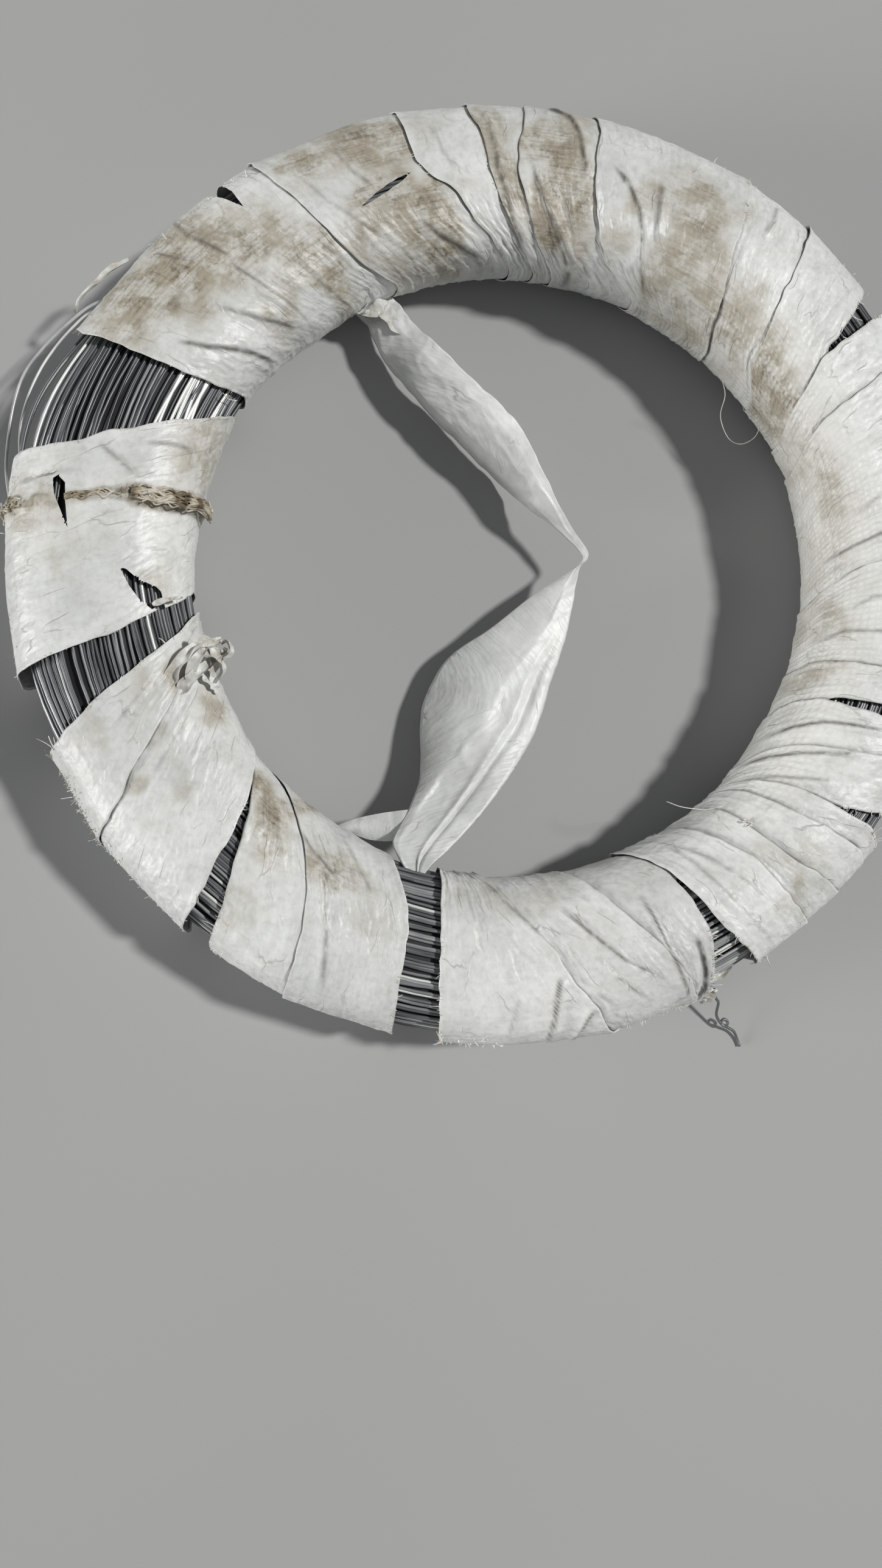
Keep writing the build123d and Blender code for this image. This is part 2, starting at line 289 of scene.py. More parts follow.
# Folds in the strip: points down the fold, its height, and the breadth of its left and right flank
FOLDS = [
    ([(238, 134.2), (221, 134.9), (203, 133.4), (196, 132.5)], 1.4, 0.9, 3.5),
    ([(228, 139.8), (222, 139.2), (214, 138.6)], 1, 3, 1.2),
    ([(198, 134.6), (175, 132.7), (160, 130.3), (151, 128.5)], 1.2, 4, 1.6),
    ([(192, 147.6), (177, 145.2), (163, 140.8), (154, 137)], 1.5, 1.4, 5),
    ([(186, 139.6), (170, 136.2), (157, 131)], 1.2, 1.3, 4),
    ([(222, 113), (205, 111.6), (193, 109.4)], 1, 1, 3),
    ([(214, 118.5), (196, 116.6), (180, 113.2), (168, 109.6)], 0.7, 1.4, 4),
    ([(176, 104), (168, 101), (163, 96.5), (160, 92)], 1.6, 2, 4.5),
    ([(222, 99.6), (205, 98.4), (193, 97)], 0.7, 1.4, 3),
    ([(212, 91.4), (196, 91), (182, 89.8), (170, 88.2), (160, 85)], 1.5, 1.3, 2.4),
    ([(228, 92.8), (214, 91.8), (204, 91.6)], 1.3, 1, 2),
    ([(200, 86.2), (187, 85), (170, 81.5), (161, 77.9), (155, 73.6)], 2, 1.1, 3.6),
    ([(241, 84.8), (234, 83.8), (228, 81.6), (219, 80.2), (210, 79.4), (200, 78.4), (192, 78.2)], 1.8, 1,
        3.2),
    ([(180, 84), (168, 80), (160, 76)], 1.2, 1.2, 2.6),
    ([(207, 75.2), (197, 71.6), (186, 68.8), (176, 66.9), (166, 65.1), (156, 60.5)], 2, 1, 3.4),
    ([(205, 67.4), (190, 66), (175, 64.9)], 1.3, 0.9, 2.6),
    ([(230, 52.6), (218, 51.6), (208, 51.4)], 0.8, 1, 2.5),
    ([(205, 5.8), (186, 3.6), (172, 1.8), (160, -0.2)], 1.2, 1, 2.6),
    ([(200, 11), (186, 9), (176, 7)], 0.6, 1.2, 3),
    ([(214, -4.6), (196, -5.6), (182, -6.4), (172, -9)], 0.8, 1.1, 3),
    ([(214, -10.6), (190, -11.4), (172, -12.4), (160, -15)], 0.9, 1.1, 3),
    ([(206, -25.2), (190, -26.4), (176, -28), (166, -30.6), (157, -35)], 1.5, 1, 2.6),
    ([(200, -29.6), (186, -31.8), (174, -34.2), (164, -37.2), (156, -41.6)], 1.3, 1, 2.4),
    ([(196, -34.8), (182, -37.2), (170, -40), (160, -43.6)], 0.8, 1, 2.6),
    ([(228, -56), (200, -57.5), (174, -59.7), (158, -62.4)], 0.8, 1.2, 3),
    ([(214, -53.4), (196, -54.6), (178, -56.8), (164, -60.4)], 0.7, 1.1, 3),
    ([(240, -66.4), (232, -65.6), (222, -65), (212, -64.6), (204, -64.6)], -1.8, 1.6, 1.6),
    ([(238, -67.6), (224, -68), (202, -68.6), (187, -69), (176, -69.6)], 1.6, 1, 2.6),
    ([(222, -69.4), (205, -74.5), (186, -79), (172, -82.5)], 1.4, 1.2, 3.4),
    ([(230, -72), (214, -75.6), (198, -78.6)], 0.9, 1.2, 2.8),
    ([(239, -84.9), (222, -84), (204, -82.9)], 1.8, 3, 1),
    ([(240, -82.2), (230, -81), (222, -79.6)], 1.6, 1, 2.4),
    ([(190, -84.4), (180, -87.4), (170, -91), (160, -94)], 1, 1.1, 2.8),
    ([(234, -89.6), (224, -89), (214, -88.2)], 0.8, 1.6, 1.4),
    ([(196, -94.6), (180, -95.4), (166, -97.4)], 0.6, 1.4, 2.6),
    ([(230, -113), (214, -114.4), (201, -115.9), (185, -118.7), (174, -121)], 1, 1.2, 2.8),
    ([(181, -116.2), (176, -120), (172, -124.2), (168, -126.5)], 1.2, 1, 2.4),
    ([(180, -111.4), (170, -115.4), (160, -120.6)], 0.8, 1.4, 3),
    ([(206, -155.4), (190, -158.2), (176, -161.4)], 0.6, 1.2, 3),
    ([(203, -147), (188, -149.6), (172, -153)], 0.5, 1.2, 3),
    ([(204, -195), (196, -193.8), (185, -192.1), (178, -190.6)], -1, 1.2, 1.2),
    ([(184, -196.4), (172, -198), (160, -199)], 0.8, 1.4, 3),
    ([(232, -188.6), (220, -188), (209, -187.6), (200, -187)], 0.8, 1.4, 2),
]

# Sewn seam across the strip at the left: a brown ridge
SEAM = [(262, 175.2), (240, 174.8), (220, 174.3), (205, 173.3), (198, 172.6), (184, 171.9), (173, 171.8),
    (163, 171.2), (150, 168.8)]
SEAM_HEIGHT = ((0.0, 0.3, 0.42, 0.6, 0.7, 1.0), (1.4, 1.1, 0.4, 0.6, 2.6, 3.0))
SEAM_ROPE = ((0.0, 0.35, 0.6, 0.7, 1.0), (0.7, 0.3, 0.3, 1.2, 1.5))
SEAM_HALF_WIDTH = ((0.0, 0.35, 0.5, 0.65, 0.72, 1.0), (4.6, 3.4, 2.2, 2.6, 4.8, 4.4))
# Strength of the seam's dirt band, and of the dark rim along its edges: painted shade, partly dirt
SEAM_DIRT_AND_SHADE = ((0.0, 0.3, 0.42, 0.6, 0.7, 1.0), (1.15, 0.8, 0.4, 0.6, 1.4, 1.3))

# Folds: breadth of the dark line at the foot, which is painted shade mixed with dirt, its strength for a
# fold
# 1 mm high, least breadth of a flank, place of the foot in flanks, tapered share at each end, and degrees
# past which a turn has none.
# Laps: strength and breadth of the dark line of painted shade where a turn lies under the next, and the
# laps whose edge catches light, which get a stronger and broader one
FOOT_SHADE_WIDTH = 1.05
FOOT_SHADE_DEPTH = 0.55
LEAST_FLANK = 1.5
FOOT_SHARE = 1.1
FOLD_TAPER = 0.18
FOLD_REACH = 14
LAP_SHADE = 0.6
LAP_SHADE_WIDTH = 0.5
LIT_LAP_SHADE = 0.85
LIT_LAP_SHADE_WIDTH = 0.95
LIT_LAPS = ("upper_right", "faint_right", "right", "low_right", "swept_right", "strand_one", "strand_knot",
            "strand_three", "strand_bottom", "pleat_bottom")

# Matted twine in the seam: first and last radius, strands, their spread and how high they stand
TWINE_RUNS = [(184.0, 150.0, 26, 1.9, 2.4), (252.0, 228.0, 12, 1.6, 0.8), (212.0, 188.0, 5, 0.8, 0.3)]

# Curled scraps of torn strip: path, width, turn about the path at both ends, and how much it cups
SCRAPS = [
    ([(-162, -66, 66), (-157, -57, 69), (-150, -50, 70), (-144, -46, 67), (-138, -44, 62)], 8, (10, 60),
        1.8),
    ([(-158, -69, 65), (-150, -62, 68), (-144, -57, 66), (-138, -52, 62), (-135, -49, 58)], 6.5, (-20, 70),
        2),
    ([(-138, -45, 63), (-135, -45, 65), (-134, -49, 65), (-137, -52, 63), (-142, -53, 61)], 5, (60, 110),
        1.2),
    ([(-150, -48, 67), (-146, -46, 70), (-142, -48, 68), (-142, -55, 64), (-145, -63, 58)], 7, (0, 90),
        1.8),
    ([(-147, -60, 62), (-143, -63, 59), (-141, -68, 54)], 6, (20, 60), 1.2),
    ([(-154, -63, 67), (-149, -53, 71), (-144, -48, 71), (-139, -46, 67)], 6, (-50, 30), 1.6),
    ([(-147, -51, 70), (-141, -52, 68), (-138, -57, 62), (-142, -63, 58)], 6.5, (20, 120), 1.6),
    ([(-216, 129, 36), (-211, 134, 43), (-203, 140, 47), (-195, 147, 48), (-188, 152, 47)], 6, (70, 20),
        1.5),
    ([(-228, 33.6, 69.5), (-223, 34.9, 71.2), (-215.5, 35.8, 71.5)], 2.8, (0, 20), 0.4),
    ([(-170, -28, 70), (-163, -26, 70.5), (-156, -24, 68)], 3.6, (10, 40), 0.6),
    ([(-78, 145, 20), (-74, 141, 24), (-69, 141, 26), (-66, 146, 24)], 6, (0, 60), 1.4),
    ([(-76, 139, 22), (-71, 136, 26), (-66, 138, 26)], 5, (30, 90), 1.2),
    ([(-73, 143, 22), (-66, 139, 26), (-60, 139, 27), (-55, 131, 28), (-50, 124, 29)], 9, (0, 10), 1.2),
    ([(82, -214, 44), (88, -217, 40), (95, -215, 38), (101, -211, 36), (107, -209, 36)], 8, (-30, 40), 1.6),
    ([(98, -206, 46), (104, -205, 42), (110, -203, 40), (115, -199, 38)], 6, (-40, 20), 1.4),
    ([(108, -213, 30), (106, -217, 26), (103, -220, 20)], 5, (0, 50), 1),
]

# Long loose threads
THREAD_RADIUS = 0.2
LONG_THREADS = [
    [(113, 97, 48), (116.5, 92, 40), (116, 84, 32), (121, 74, 28), (127, 70, 30), (133, 72, 34),
        (135, 76, 38)],
    [(78, -120, 62), (85, -123, 66), (96, -124, 66), (106, -122, 60)],
    [(-139, 80, 60), (-137, 79, 55), (-133, 80, 50)],
]

# Holes torn in the strip, as outlines of (radius, angle)
TEARS = [
    [(256, 131.8), (247, 130.6), (238, 129.6), (228, 128.6), (214, 127.2), (226, 126.9), (238, 127.2),
        (247, 127.6), (256, 128)],
    [(220.8, 171.4), (218.6, 170.9), (214.3, 171.8), (213.2, 174), (210.7, 177.7), (215.4, 175.1),
        (219.2, 173.2)],
    [(186, 183.1), (183, 183.4), (179, 184.6), (174, 185.6), (170, 186.2), (168, 187), (167, 189.9),
        (173, 189.9), (178, 188.2), (182, 186)],
    [(186, 113), (190, 110.2), (192.6, 108.2), (195, 106), (196.4, 104), (193, 105.6), (189.8, 108.1),
        (187.4, 110.6)],
]

# Stains of each turn, by its first edge: radius, angle, breadth along the ring and across it, strength
STAINS = {
    "gap_a_upper": [(216, 138, 38, 26, 0.75), (201, 139, 14, 12, 0.8), (216, 144, 24, 16, 0.6),
        (195, 129, 20, 16, 0.7), (177, 124, 14, 8, 0.9), (165, 122, 12, 7, 0.9), (169, 135, 7, 6, 0.6),
        (169, 130, 12, 8, 0.45), (222, 149, 22, 12, 0.5), (190, 134, 20, 10, 0.4)],
    "clean_upper_left": [(220, 112, 30, 18, 0.65), (218, 117, 12, 10, 0.6), (215, 106, 18, 14, 0.7),
        (188, 112, 12, 8, 1), (193, 107, 14, 9, 1), (184, 103, 18, 10, 0.95), (170, 101, 16, 10, 0.8),
        (171, 112, 22, 13, 0.6), (161, 100, 10, 8, 0.6)],
    "curled": [(173, 97, 12, 10, 0.55), (218, 101, 14, 12, 0.2), (162, 94, 10, 8, 0.45)],
    "ragged_top": [(208, 92, 14, 16, 0.6), (186, 90, 12, 16, 0.7), (168, 88, 10, 12, 0.6),
        (220, 93, 8, 10, 0.5)],
    "deep_top": [(207, 84, 18, 14, 0.8), (190, 81, 16, 16, 0.85), (177, 83, 12, 14, 0.8),
        (172, 78, 12, 14, 0.7), (225, 81, 16, 10, 0.5), (164, 83, 6, 6, 0.9)],
    "band_top": [(203, 63, 22, 16, 0.45), (184, 58, 20, 18, 0.6), (167, 60, 16, 14, 0.6),
        (206, 59, 18, 16, 0.5), (164, 51, 14, 12, 0.65), (192, 69, 8, 12, 0.5), (169, 71, 6, 10, 0.4)],
    "corner_out": [(170, 51, 12, 10, 0.55), (163, 45, 14, 12, 0.6), (184, 48, 10, 10, 0.4),
        (220, 56, 10, 8, 0.3)],
    "upper_right": [(174, 40, 12, 10, 0.5), (163, 36, 12, 10, 0.85), (166, 32, 14, 10, 0.8),
        (162, 27, 10, 8, 0.6)],
    "notch_g_lower": [(163, 23, 16, 10, 0.3), (162, 18, 12, 8, 0.3)],
    "faint_right": [(162, 13, 22, 9, 0.35), (166, 7, 20, 10, 0.15), (166, 18, 14, 8, 0.25),
        (159, 0, 16, 7, 0.2)],
    "right": [(161, -9, 16, 8, 0.4)],
    "low_right": [(161, -22, 10, 8, 0.35), (165, -18, 10, 6, 0.3)],
    "strand_one": [(209, -46, 10, 8, 0.2)],
    "strand_knot": [(199, -48, 10, 9, 0.3), (214, -48, 9, 8, 0.45), (187, -49, 10, 6, 0.2)],
    "strand_three": [(217, -51, 9, 6, 0.35)],
    "low": [(170, -131, 10, 10, 1), (163, -136, 9, 8, 0.9), (183, -129, 10, 9, 0.6),
        (210, -127, 10, 8, 0.3)],
    "gap_c_left": [(173, -121, 14, 8, 0.75), (158, -128, 8, 7, 0.8), (175, -116, 12, 6, 0.5),
        (187, -111, 16, 12, 0.2)],
    "notch_c_left": [(163, -151, 8, 8, 0.6), (192, -144, 8, 8, 0.3), (191, -152, 14, 9, 0.3),
        (206, -148, 6, 6, 0.5)],
    "lower_left": [(166, -160, 12, 9, 0.7), (164, -156, 8, 7, 0.9), (188, -159, 14, 10, 0.3),
        (218, -155, 12, 8, 0.3)],
    "gap_b_upper": [(159, 158, 22, 14, 0.45), (164, 164, 22, 14, 0.3), (228, 175, 18, 9, 0.5),
        (211, 179, 22, 10, 0.25), (145, 164, 10, 8, 0.7), (166, 186, 12, 8, 0.3)],
    "pleat_bottom": [(166, -93, 16, 8, 0.3)],
    "strand_bottom": [(169, -84, 12, 8, 0.3)],
}

# Depth of the gathers of a turn, and where it differs from the rest
USUAL_SLACK = 0.4
SLACK = {"gap_a_upper": 0.6, "clean_upper_left": 0.5, "curled": 0.5, "ragged_top": 0.5, "deep_top": 0.5,
         "band_top": 0.5, "swept_right": 0.6, "strand_bottom": 0.6, "pleat_bottom": 0.6}

# Brightness of a turn where it differs from the rest
TONES = {
    "clean_upper_left": 0.97, "curled": 1.05, "ragged_top": 0.95, "deep_top": 0.92, "corner_out": 1.06,
    "upper_right": 1.05, "notch_g_lower": 1.1, "faint_right": 1.07, "right": 1.07, "low_right": 1.05,
    "notch_f_lower": 1.05, "strand_one": 1.05,
    "strand_three": 1.08, "gap_d_lower": 0.96, "pleat_bottom": 1.03, "low": 1.05, "notch_c_left": 1.04,
    "lower_left": 0.97,
}

# Loose wire bowed out at the upper left
BOWED_WIRE = [(-176, 146, 42), (-188, 137, 43), (-199, 133, 44), (-208.4, 128.6, 44),
              (-220.7, 119.1, 41), (-232, 108.5, 38), (-240.3, 97.8, 36), (-245.2, 85.5, 34),
              (-248.1, 69.3, 33), (-248.9, 45.9, 34), (-243, 20, 36), (-232, 0, 36)]
SECOND_WIRE = [(-176, 144, 38), (-190, 134, 40), (-202, 129, 42), (-209, 126, 42),
               (-216, 119.6, 41), (-224, 111, 39), (-232, 99, 38), (-238.5, 84, 37),
               (-242, 66, 37), (-240, 44, 38), (-232, 20, 38)]
FREE_END = [(103, -203, 22), (111.3, -217.1, 20), (113.9, -220.2, 16), (114.6, -226.6, 9), (117, -231, 6.5),
            (120, -233.2, 6), (121.2, -231, 6.4), (119, -229.4, 7), (117.6, -231.6, 6.4),
            (121, -233.6, 4.6),
            (125, -236, 3.2), (127.2, -240, 1.6), (128.6, -244, 1.2)]


def make_piece(name, points, faces, material, slot):
    """Smooth mesh piece from points in millimetres, riding on the coil."""
    mesh = bpy.data.meshes.new(name)
    mesh.from_pydata((np.asarray(points) * MM).tolist(), [], faces)
    mesh.polygons.foreach_set("use_smooth", [True] * len(mesh.polygons))
    mesh.materials.append(material)
    piece = bpy.data.objects.new(name, mesh)
    bpy.context.scene.collection.objects.link(piece)
    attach(piece, "root")
    return piece


def add_attributes(piece, **attributes):
    """Values of each point that the materials read: numbers, or rows of three for a place."""
    for name, values in attributes.items():
        values = np.asarray(values, np.float32)
        kind, field = ("FLOAT_VECTOR", "vector") if values.ndim == 2 else ("FLOAT", "value")
        piece.data.attributes.new(name, kind, "POINT").data.foreach_set(field, values.ravel())


def grid_faces(rows, columns, closed_rows=False, closed_columns=False):
    """Four-sided faces of a grid of points listed row by row."""
    row, column = np.meshgrid(np.arange(rows if closed_rows else rows - 1),
                              np.arange(columns if closed_columns else columns - 1), indexing="ij")
    after, beside = (row + 1) % rows, (column + 1) % columns
    corners = [row * columns + column, row * columns + beside, after * columns + beside,
               after * columns + column]
    return np.stack(corners, -1).reshape(-1, 4)


def tube(path, radius, sides, closed=False):
    """Points and faces of a round tube along a path, with end caps where it isn't closed."""
    path = np.asarray(path, float)
    heading = unit(np.roll(path, -1, 0) - np.roll(path, 1, 0) if closed else np.gradient(path, axis=0))
    guide = np.where(np.abs(heading[:, 2:3]) > STEEP, [[1.0, 0.0, 0.0]], [[0.0, 0.0, 1.0]])
    side = unit(np.cross(heading, guide))
    lift = np.cross(side, heading)
    spin = (np.arange(sides) * 2 * math.pi / sides)[None, :, None]
    radius = np.broadcast_to(radius, len(path))[:, None, None]
    points = path[:, None] + radius * (np.cos(spin) * side[:, None] + np.sin(spin) * lift[:, None])
    rows = len(path)
    faces = grid_faces(rows, sides, closed, True).tolist()
    if not closed:
        faces += [list(range(sides))[::-1], list(range((rows - 1) * sides, rows * sides))]
    return points.reshape(-1, 3), faces


def join_parts(parts):
    """One array of points and one list of faces from several."""
    faces, count = [], 0
    for part_points, part_faces in parts:
        faces += [[corner + count for corner in face] for face in np.asarray(part_faces, object).tolist()]
        count += len(part_points)
    return np.concatenate([part[0] for part in parts]), faces


def spline(stations, steps):
    """Close points on a smooth curve through the given stations."""
    stations = np.asarray(stations, float)
    padded = np.concatenate([[2 * stations[0] - stations[1]], stations, [2 * stations[-1] - stations[-2]]])
    dense = []
    for first, second, third, fourth in zip(padded, padded[1:], padded[2:], padded[3:]):
        for share in np.linspace(0, 1, steps, endpoint=False):
            dense.append(0.5 * (2 * second + (third - first) * share
                                + (2 * first - 5 * second + 4 * third - fourth) * share**2
                                + (3 * second - first - 3 * third + fourth) * share**3))
    return np.array(dense + [stations[-1]])


def spaced_evenly(dense, reached, count):
    """Rows of a dense curve at even steps along it, and how far along each lies."""
    places = np.linspace(0, reached[-1], count)
    return np.stack([np.interp(places, reached, column) for column in dense.T], -1), places


def smooth_path(points, count):
    """Evenly spaced points along a smooth curve through the given ones."""
    dense = spline(points, 12)
    return spaced_evenly(dense, run_length(dense), count)[0]


def rgba(colour):
    """Colour of a socket from three shares or one grey level."""
    return (*(colour if isinstance(colour, tuple) else (colour,) * 3), 1.0)


class Nodes:
    """Short way to add and link shader nodes."""

    def __init__(self, name):
        self.material = bpy.data.materials.new(name)
        self.material.use_nodes = True
        self.tree = self.material.node_tree
        self.shader = self.tree.nodes["Principled BSDF"]

    def put(self, socket, value):
        if isinstance(value, bpy.types.NodeSocket):
            self.tree.links.new(value, socket)
        else:
            socket.default_value = value

    def add(self, kind, inputs=(), **settings):
        node = self.tree.nodes.new(kind)
        for key, value in settings.items():
            setattr(node, key, value)
        for key, value in dict(inputs).items():
            self.put(node.inputs[key], value)
        return node

    def math(self, operation, first, second=0.0):
        return self.add("ShaderNodeMath", {0: first, 1: second}, operation=operation).outputs[0]

    def product(self, first, *others):
        for other in others:
            first = self.math("MULTIPLY", first, other)
        return first

    def total(self, first, *others):
        for other in others:
            first = self.math("ADD", first, other)
        return first

    def ramp(self, factor, *stops):
        """Colours by a factor, each stop a place and a colour or grey level."""
        node = self.add("ShaderNodeValToRGB", {0: factor})
        elements = node.color_ramp.elements
        while len(elements) < len(stops):
            elements.new(0.5)
        for element, (place, colour) in zip(elements, stops):
            element.position = place
            element.color = rgba(colour)
        return node.outputs[0]

    def place(self):
        return self.add("ShaderNodeTexCoord").outputs["Object"]

    def noise(self, vector, scale, detail=3.0, roughness=0.5):
        inputs = {"Vector": vector, "Scale": scale, "Detail": detail, "Roughness": roughness}
        return self.add("ShaderNodeTexNoise", inputs).outputs["Fac"]

    def stretch(self, vector, scale):
        return self.add("ShaderNodeMapping", {"Vector": vector, "Scale": scale}).outputs[0]

    def bend(self, vector, amount, scale, detail):
        """Places shifted by coarse noise."""
        inputs = {"Vector": vector, "Scale": scale, "Detail": detail}
        shift = self.add("ShaderNodeTexNoise", inputs).outputs["Color"]
        return self.add("ShaderNodeMixRGB", {0: amount, 1: vector, 2: shift}, blend_type="ADD").outputs[0]

    def mix(self, factor, first, second, blend="MIX"):
        node = self.add("ShaderNodeMix", data_type="RGBA", blend_type=blend)
        for key, value in ((0, factor), (6, first), (7, second)):
            self.put(node.inputs[key], rgba(value) if isinstance(value, tuple) else value)
        return node.outputs[2]

    def attribute(self, name, output="Fac"):
        return self.add("ShaderNodeAttribute", attribute_name=name).outputs[output]

    def bump(self, height, strength, distance):
        node = self.add("ShaderNodeBump", {"Height": height, "Strength": strength, "Distance": distance})
        self.set(Normal=node.outputs[0])

    def set(self, **values):
        for key, value in values.items():
            self.put(self.shader.inputs[key.replace("_", " ")], value)


def weave_pattern(nodes, weave):
    """Height of the woven tapes, 0 at their joints and 1 on their crowns, and where the warp is on top."""
    split = nodes.add("ShaderNodeSeparateXYZ", {0: weave})
    waver = nodes.product(nodes.total(nodes.noise(weave, 0.06, 2.0), -0.5), 2.5)
    cell = math.pi / TAPE_WIDTH
    warp, weft = (nodes.product(nodes.total(split.outputs[axis], waver), cell) for axis in (0, 1))
    crossing = nodes.product(nodes.math("SINE", warp), nodes.math("SINE", weft))
    crowns = nodes.math("POWER", nodes.math("ABSOLUTE", crossing), 1.2)
    return crowns, nodes.math("GREATER_THAN", crossing, 0.0)


def scaled_noise(nodes, vector, scale, detail=4.0):
    """Noise drawn out along one way of the strip."""
    return nodes.noise(nodes.stretch(vector, scale), 1.0, detail, 0.6)


def crinkle(nodes, weave, scale):
    """Flat facets between sharp creases, drawn out along the strip."""
    place = nodes.bend(nodes.stretch(weave, scale), 0.45, 0.9, 2.0)
    return nodes.add("ShaderNodeTexVoronoi", {"Vector": place, "Scale": 1.0},
                     voronoi_dimensions="2D").outputs[0]


def hairlines(nodes, weave):
    """Thin crisp creases that come and go, as a share from 0 to 1; the colour darkens them as painted
    shade.
    """
    place = nodes.bend(nodes.stretch(weave, (0.075, 0.028, 1.0)), 0.7, 1.6, 3.0)
    edge = nodes.add("ShaderNodeTexVoronoi", {"Vector": place, "Scale": 1.0}, voronoi_dimensions="2D",
                     feature="DISTANCE_TO_EDGE").outputs[0]
    some = nodes.ramp(nodes.noise(weave, 0.07, 2.0), (0.49, 0.0), (0.64, 1.0))
    return nodes.product(nodes.ramp(edge, (0.0, 1.0), (0.03, 0.0)), some)


def tape_colour(nodes, place, weave, pillow, clear, grain):
    """Clean off-white tape with cloudy, scuffed and scratched parts."""
    colour = nodes.ramp(nodes.noise(place, 16.0, 4.0), (0.32, (0.6, 0.62, 0.62)),
                        (0.5, (0.685, 0.705, 0.703)), (0.68, (0.76, 0.776, 0.772)))
    clouds = nodes.ramp(nodes.noise(place, 55.0, 4.0, 0.6), (0.36, (0.84, 0.84, 0.83)), (0.5, 1.0),
                        (0.62, 1.09))
    specks = nodes.ramp(nodes.noise(place, 260.0, 4.0, 0.65), (0.34, (0.8, 0.8, 0.79)), (0.5, 1.0),
                        (0.66, 1.09))
    scuffs = nodes.ramp(scaled_noise(nodes, weave, (1.1, 0.07, 1.0)), (0.36, (0.87, 0.87, 0.86)),
                        (0.48, 1.0), (0.66, 1.04))
    joints = nodes.ramp(pillow, (0.0, (0.86, 0.85, 0.83)), (0.4, (0.98, 0.98, 0.97)),
                        (1.0, (1.08, 1.08, 1.07)))
    tone = nodes.attribute("tone")
    tone = nodes.add("ShaderNodeCombineXYZ", {0: tone, 1: tone, 2: tone}).outputs[0]
    layers = [(0.5, clouds), (0.6 * grain, specks), (0.3 * grain, scuffs), (clear, joints), (1.0, tone)]
    for share, layer in layers:
        colour = nodes.mix(share, colour, layer, "MULTIPLY")
    return colour


def dirt_layers(nodes, place, around, weave, pillow):
    """Even tan wash of the dirt, and its darker grains between the crowns, patches and streaks."""
    dirt = nodes.attribute("dirt")
    patch = nodes.ramp(nodes.noise(place, 75.0, 5.0, 0.65), (0.44, 0.0), (0.56, 1.0))
    lines = nodes.ramp(scaled_noise(nodes, around, (0.05, 0.6, 1.0), 5.0), (0.46, 0.0), (0.58, 1.0))
    hatch = nodes.ramp(scaled_noise(nodes, weave, (0.5, 0.06, 1.0)), (0.5, 0.0), (0.62, 1.0))
    speckle = nodes.total(nodes.noise(place, 420.0, 3.0, 0.7), -0.5)
    wash = nodes.product(nodes.math("POWER", dirt, 0.75), nodes.total(nodes.product(patch, 0.45), 0.55))
    spread = nodes.total(nodes.product(patch, 0.35), nodes.product(lines, 0.32), nodes.product(hatch, 0.1),
                         nodes.product(speckle, 1.3))
    open_joints = nodes.math("SUBTRACT", 1.0, nodes.product(pillow, 0.25))
    dark = nodes.product(dirt, dirt, spread, open_joints, 1.35)
    return nodes.math("MINIMUM", wash, 0.92), nodes.math("MINIMUM", nodes.math("MAXIMUM", dark, 0.0), 0.9)


def woven_material(name, grain):
    """Off-white woven polypropylene tape, creased, scuffed and stained, with painted shade along folds,
    laps and creases and painted sheen where the warp is on top; grain is its roughness.
    """
    nodes = Nodes(name)
    weave, around = nodes.attribute("weave", "Vector"), nodes.attribute("around", "Vector")
    place, pillows = nodes.place(), nodes.attribute("pillows")
    pillow, warp_up = weave_pattern(nodes, weave)
    clear = nodes.product(nodes.ramp(nodes.noise(place, 26.0, 3.0), (0.4, 0.35), (0.6, 1.0)), pillows)
    crease = hairlines(nodes, weave)
    wash, dark = dirt_layers(nodes, place, around, weave, pillow)
    brown = nodes.ramp(nodes.noise(place, 120.0, 3.0), (0.36, (0.125, 0.105, 0.075)),
                       (0.6, (0.27, 0.235, 0.18)))
    gaps = nodes.ramp(nodes.noise(place, 180.0, 3.0), (0.3, 0.35), (0.55, 1.0))
    # Dark line at fold feet, the seam's rim and laps: painted shade, partly dirt, broken up by noise
    line = nodes.math("MINIMUM", nodes.product(nodes.attribute("line"), gaps), 0.93)
    colour = tape_colour(nodes, place, weave, pillow, clear, grain)
    layers = [
        (nodes.product(pillows, 0.35), (0.85, 0.83, 0.78)),
        # Crisp creases darkened: painted shade
        (nodes.product(crease, 0.42), (0.27, 0.25, 0.21)),
        # Lighter where the warp lies on top: painted sheen of the crossing tapes
        (nodes.product(warp_up, clear, 0.1), (0.9, 0.9, 0.9)),
        (wash, (0.42, 0.38, 0.3)),
        (dark, brown),
        (line, (0.085, 0.075, 0.06)),
    ]
    for share, layer in layers:
        colour = nodes.mix(share, colour, layer)
    nodes.set(Base_Color=colour, Roughness=0.43, Specular_IOR_Level=0.45)
    height = nodes.total(
        nodes.product(pillow, nodes.total(clear, 0.08), 0.5),
        nodes.product(crinkle(nodes, weave, (0.13, 0.045, 1.0)), 0.9),
        nodes.product(crinkle(nodes, weave, (0.34, 0.14, 1.0)), 0.4),
        nodes.product(nodes.noise(place, 260.0, 3.0, 0.6), 0.5),
        nodes.product(crease, -0.5),
    )
    nodes.bump(height, 0.25 + 0.35 * grain, 0.001)
    return nodes.material


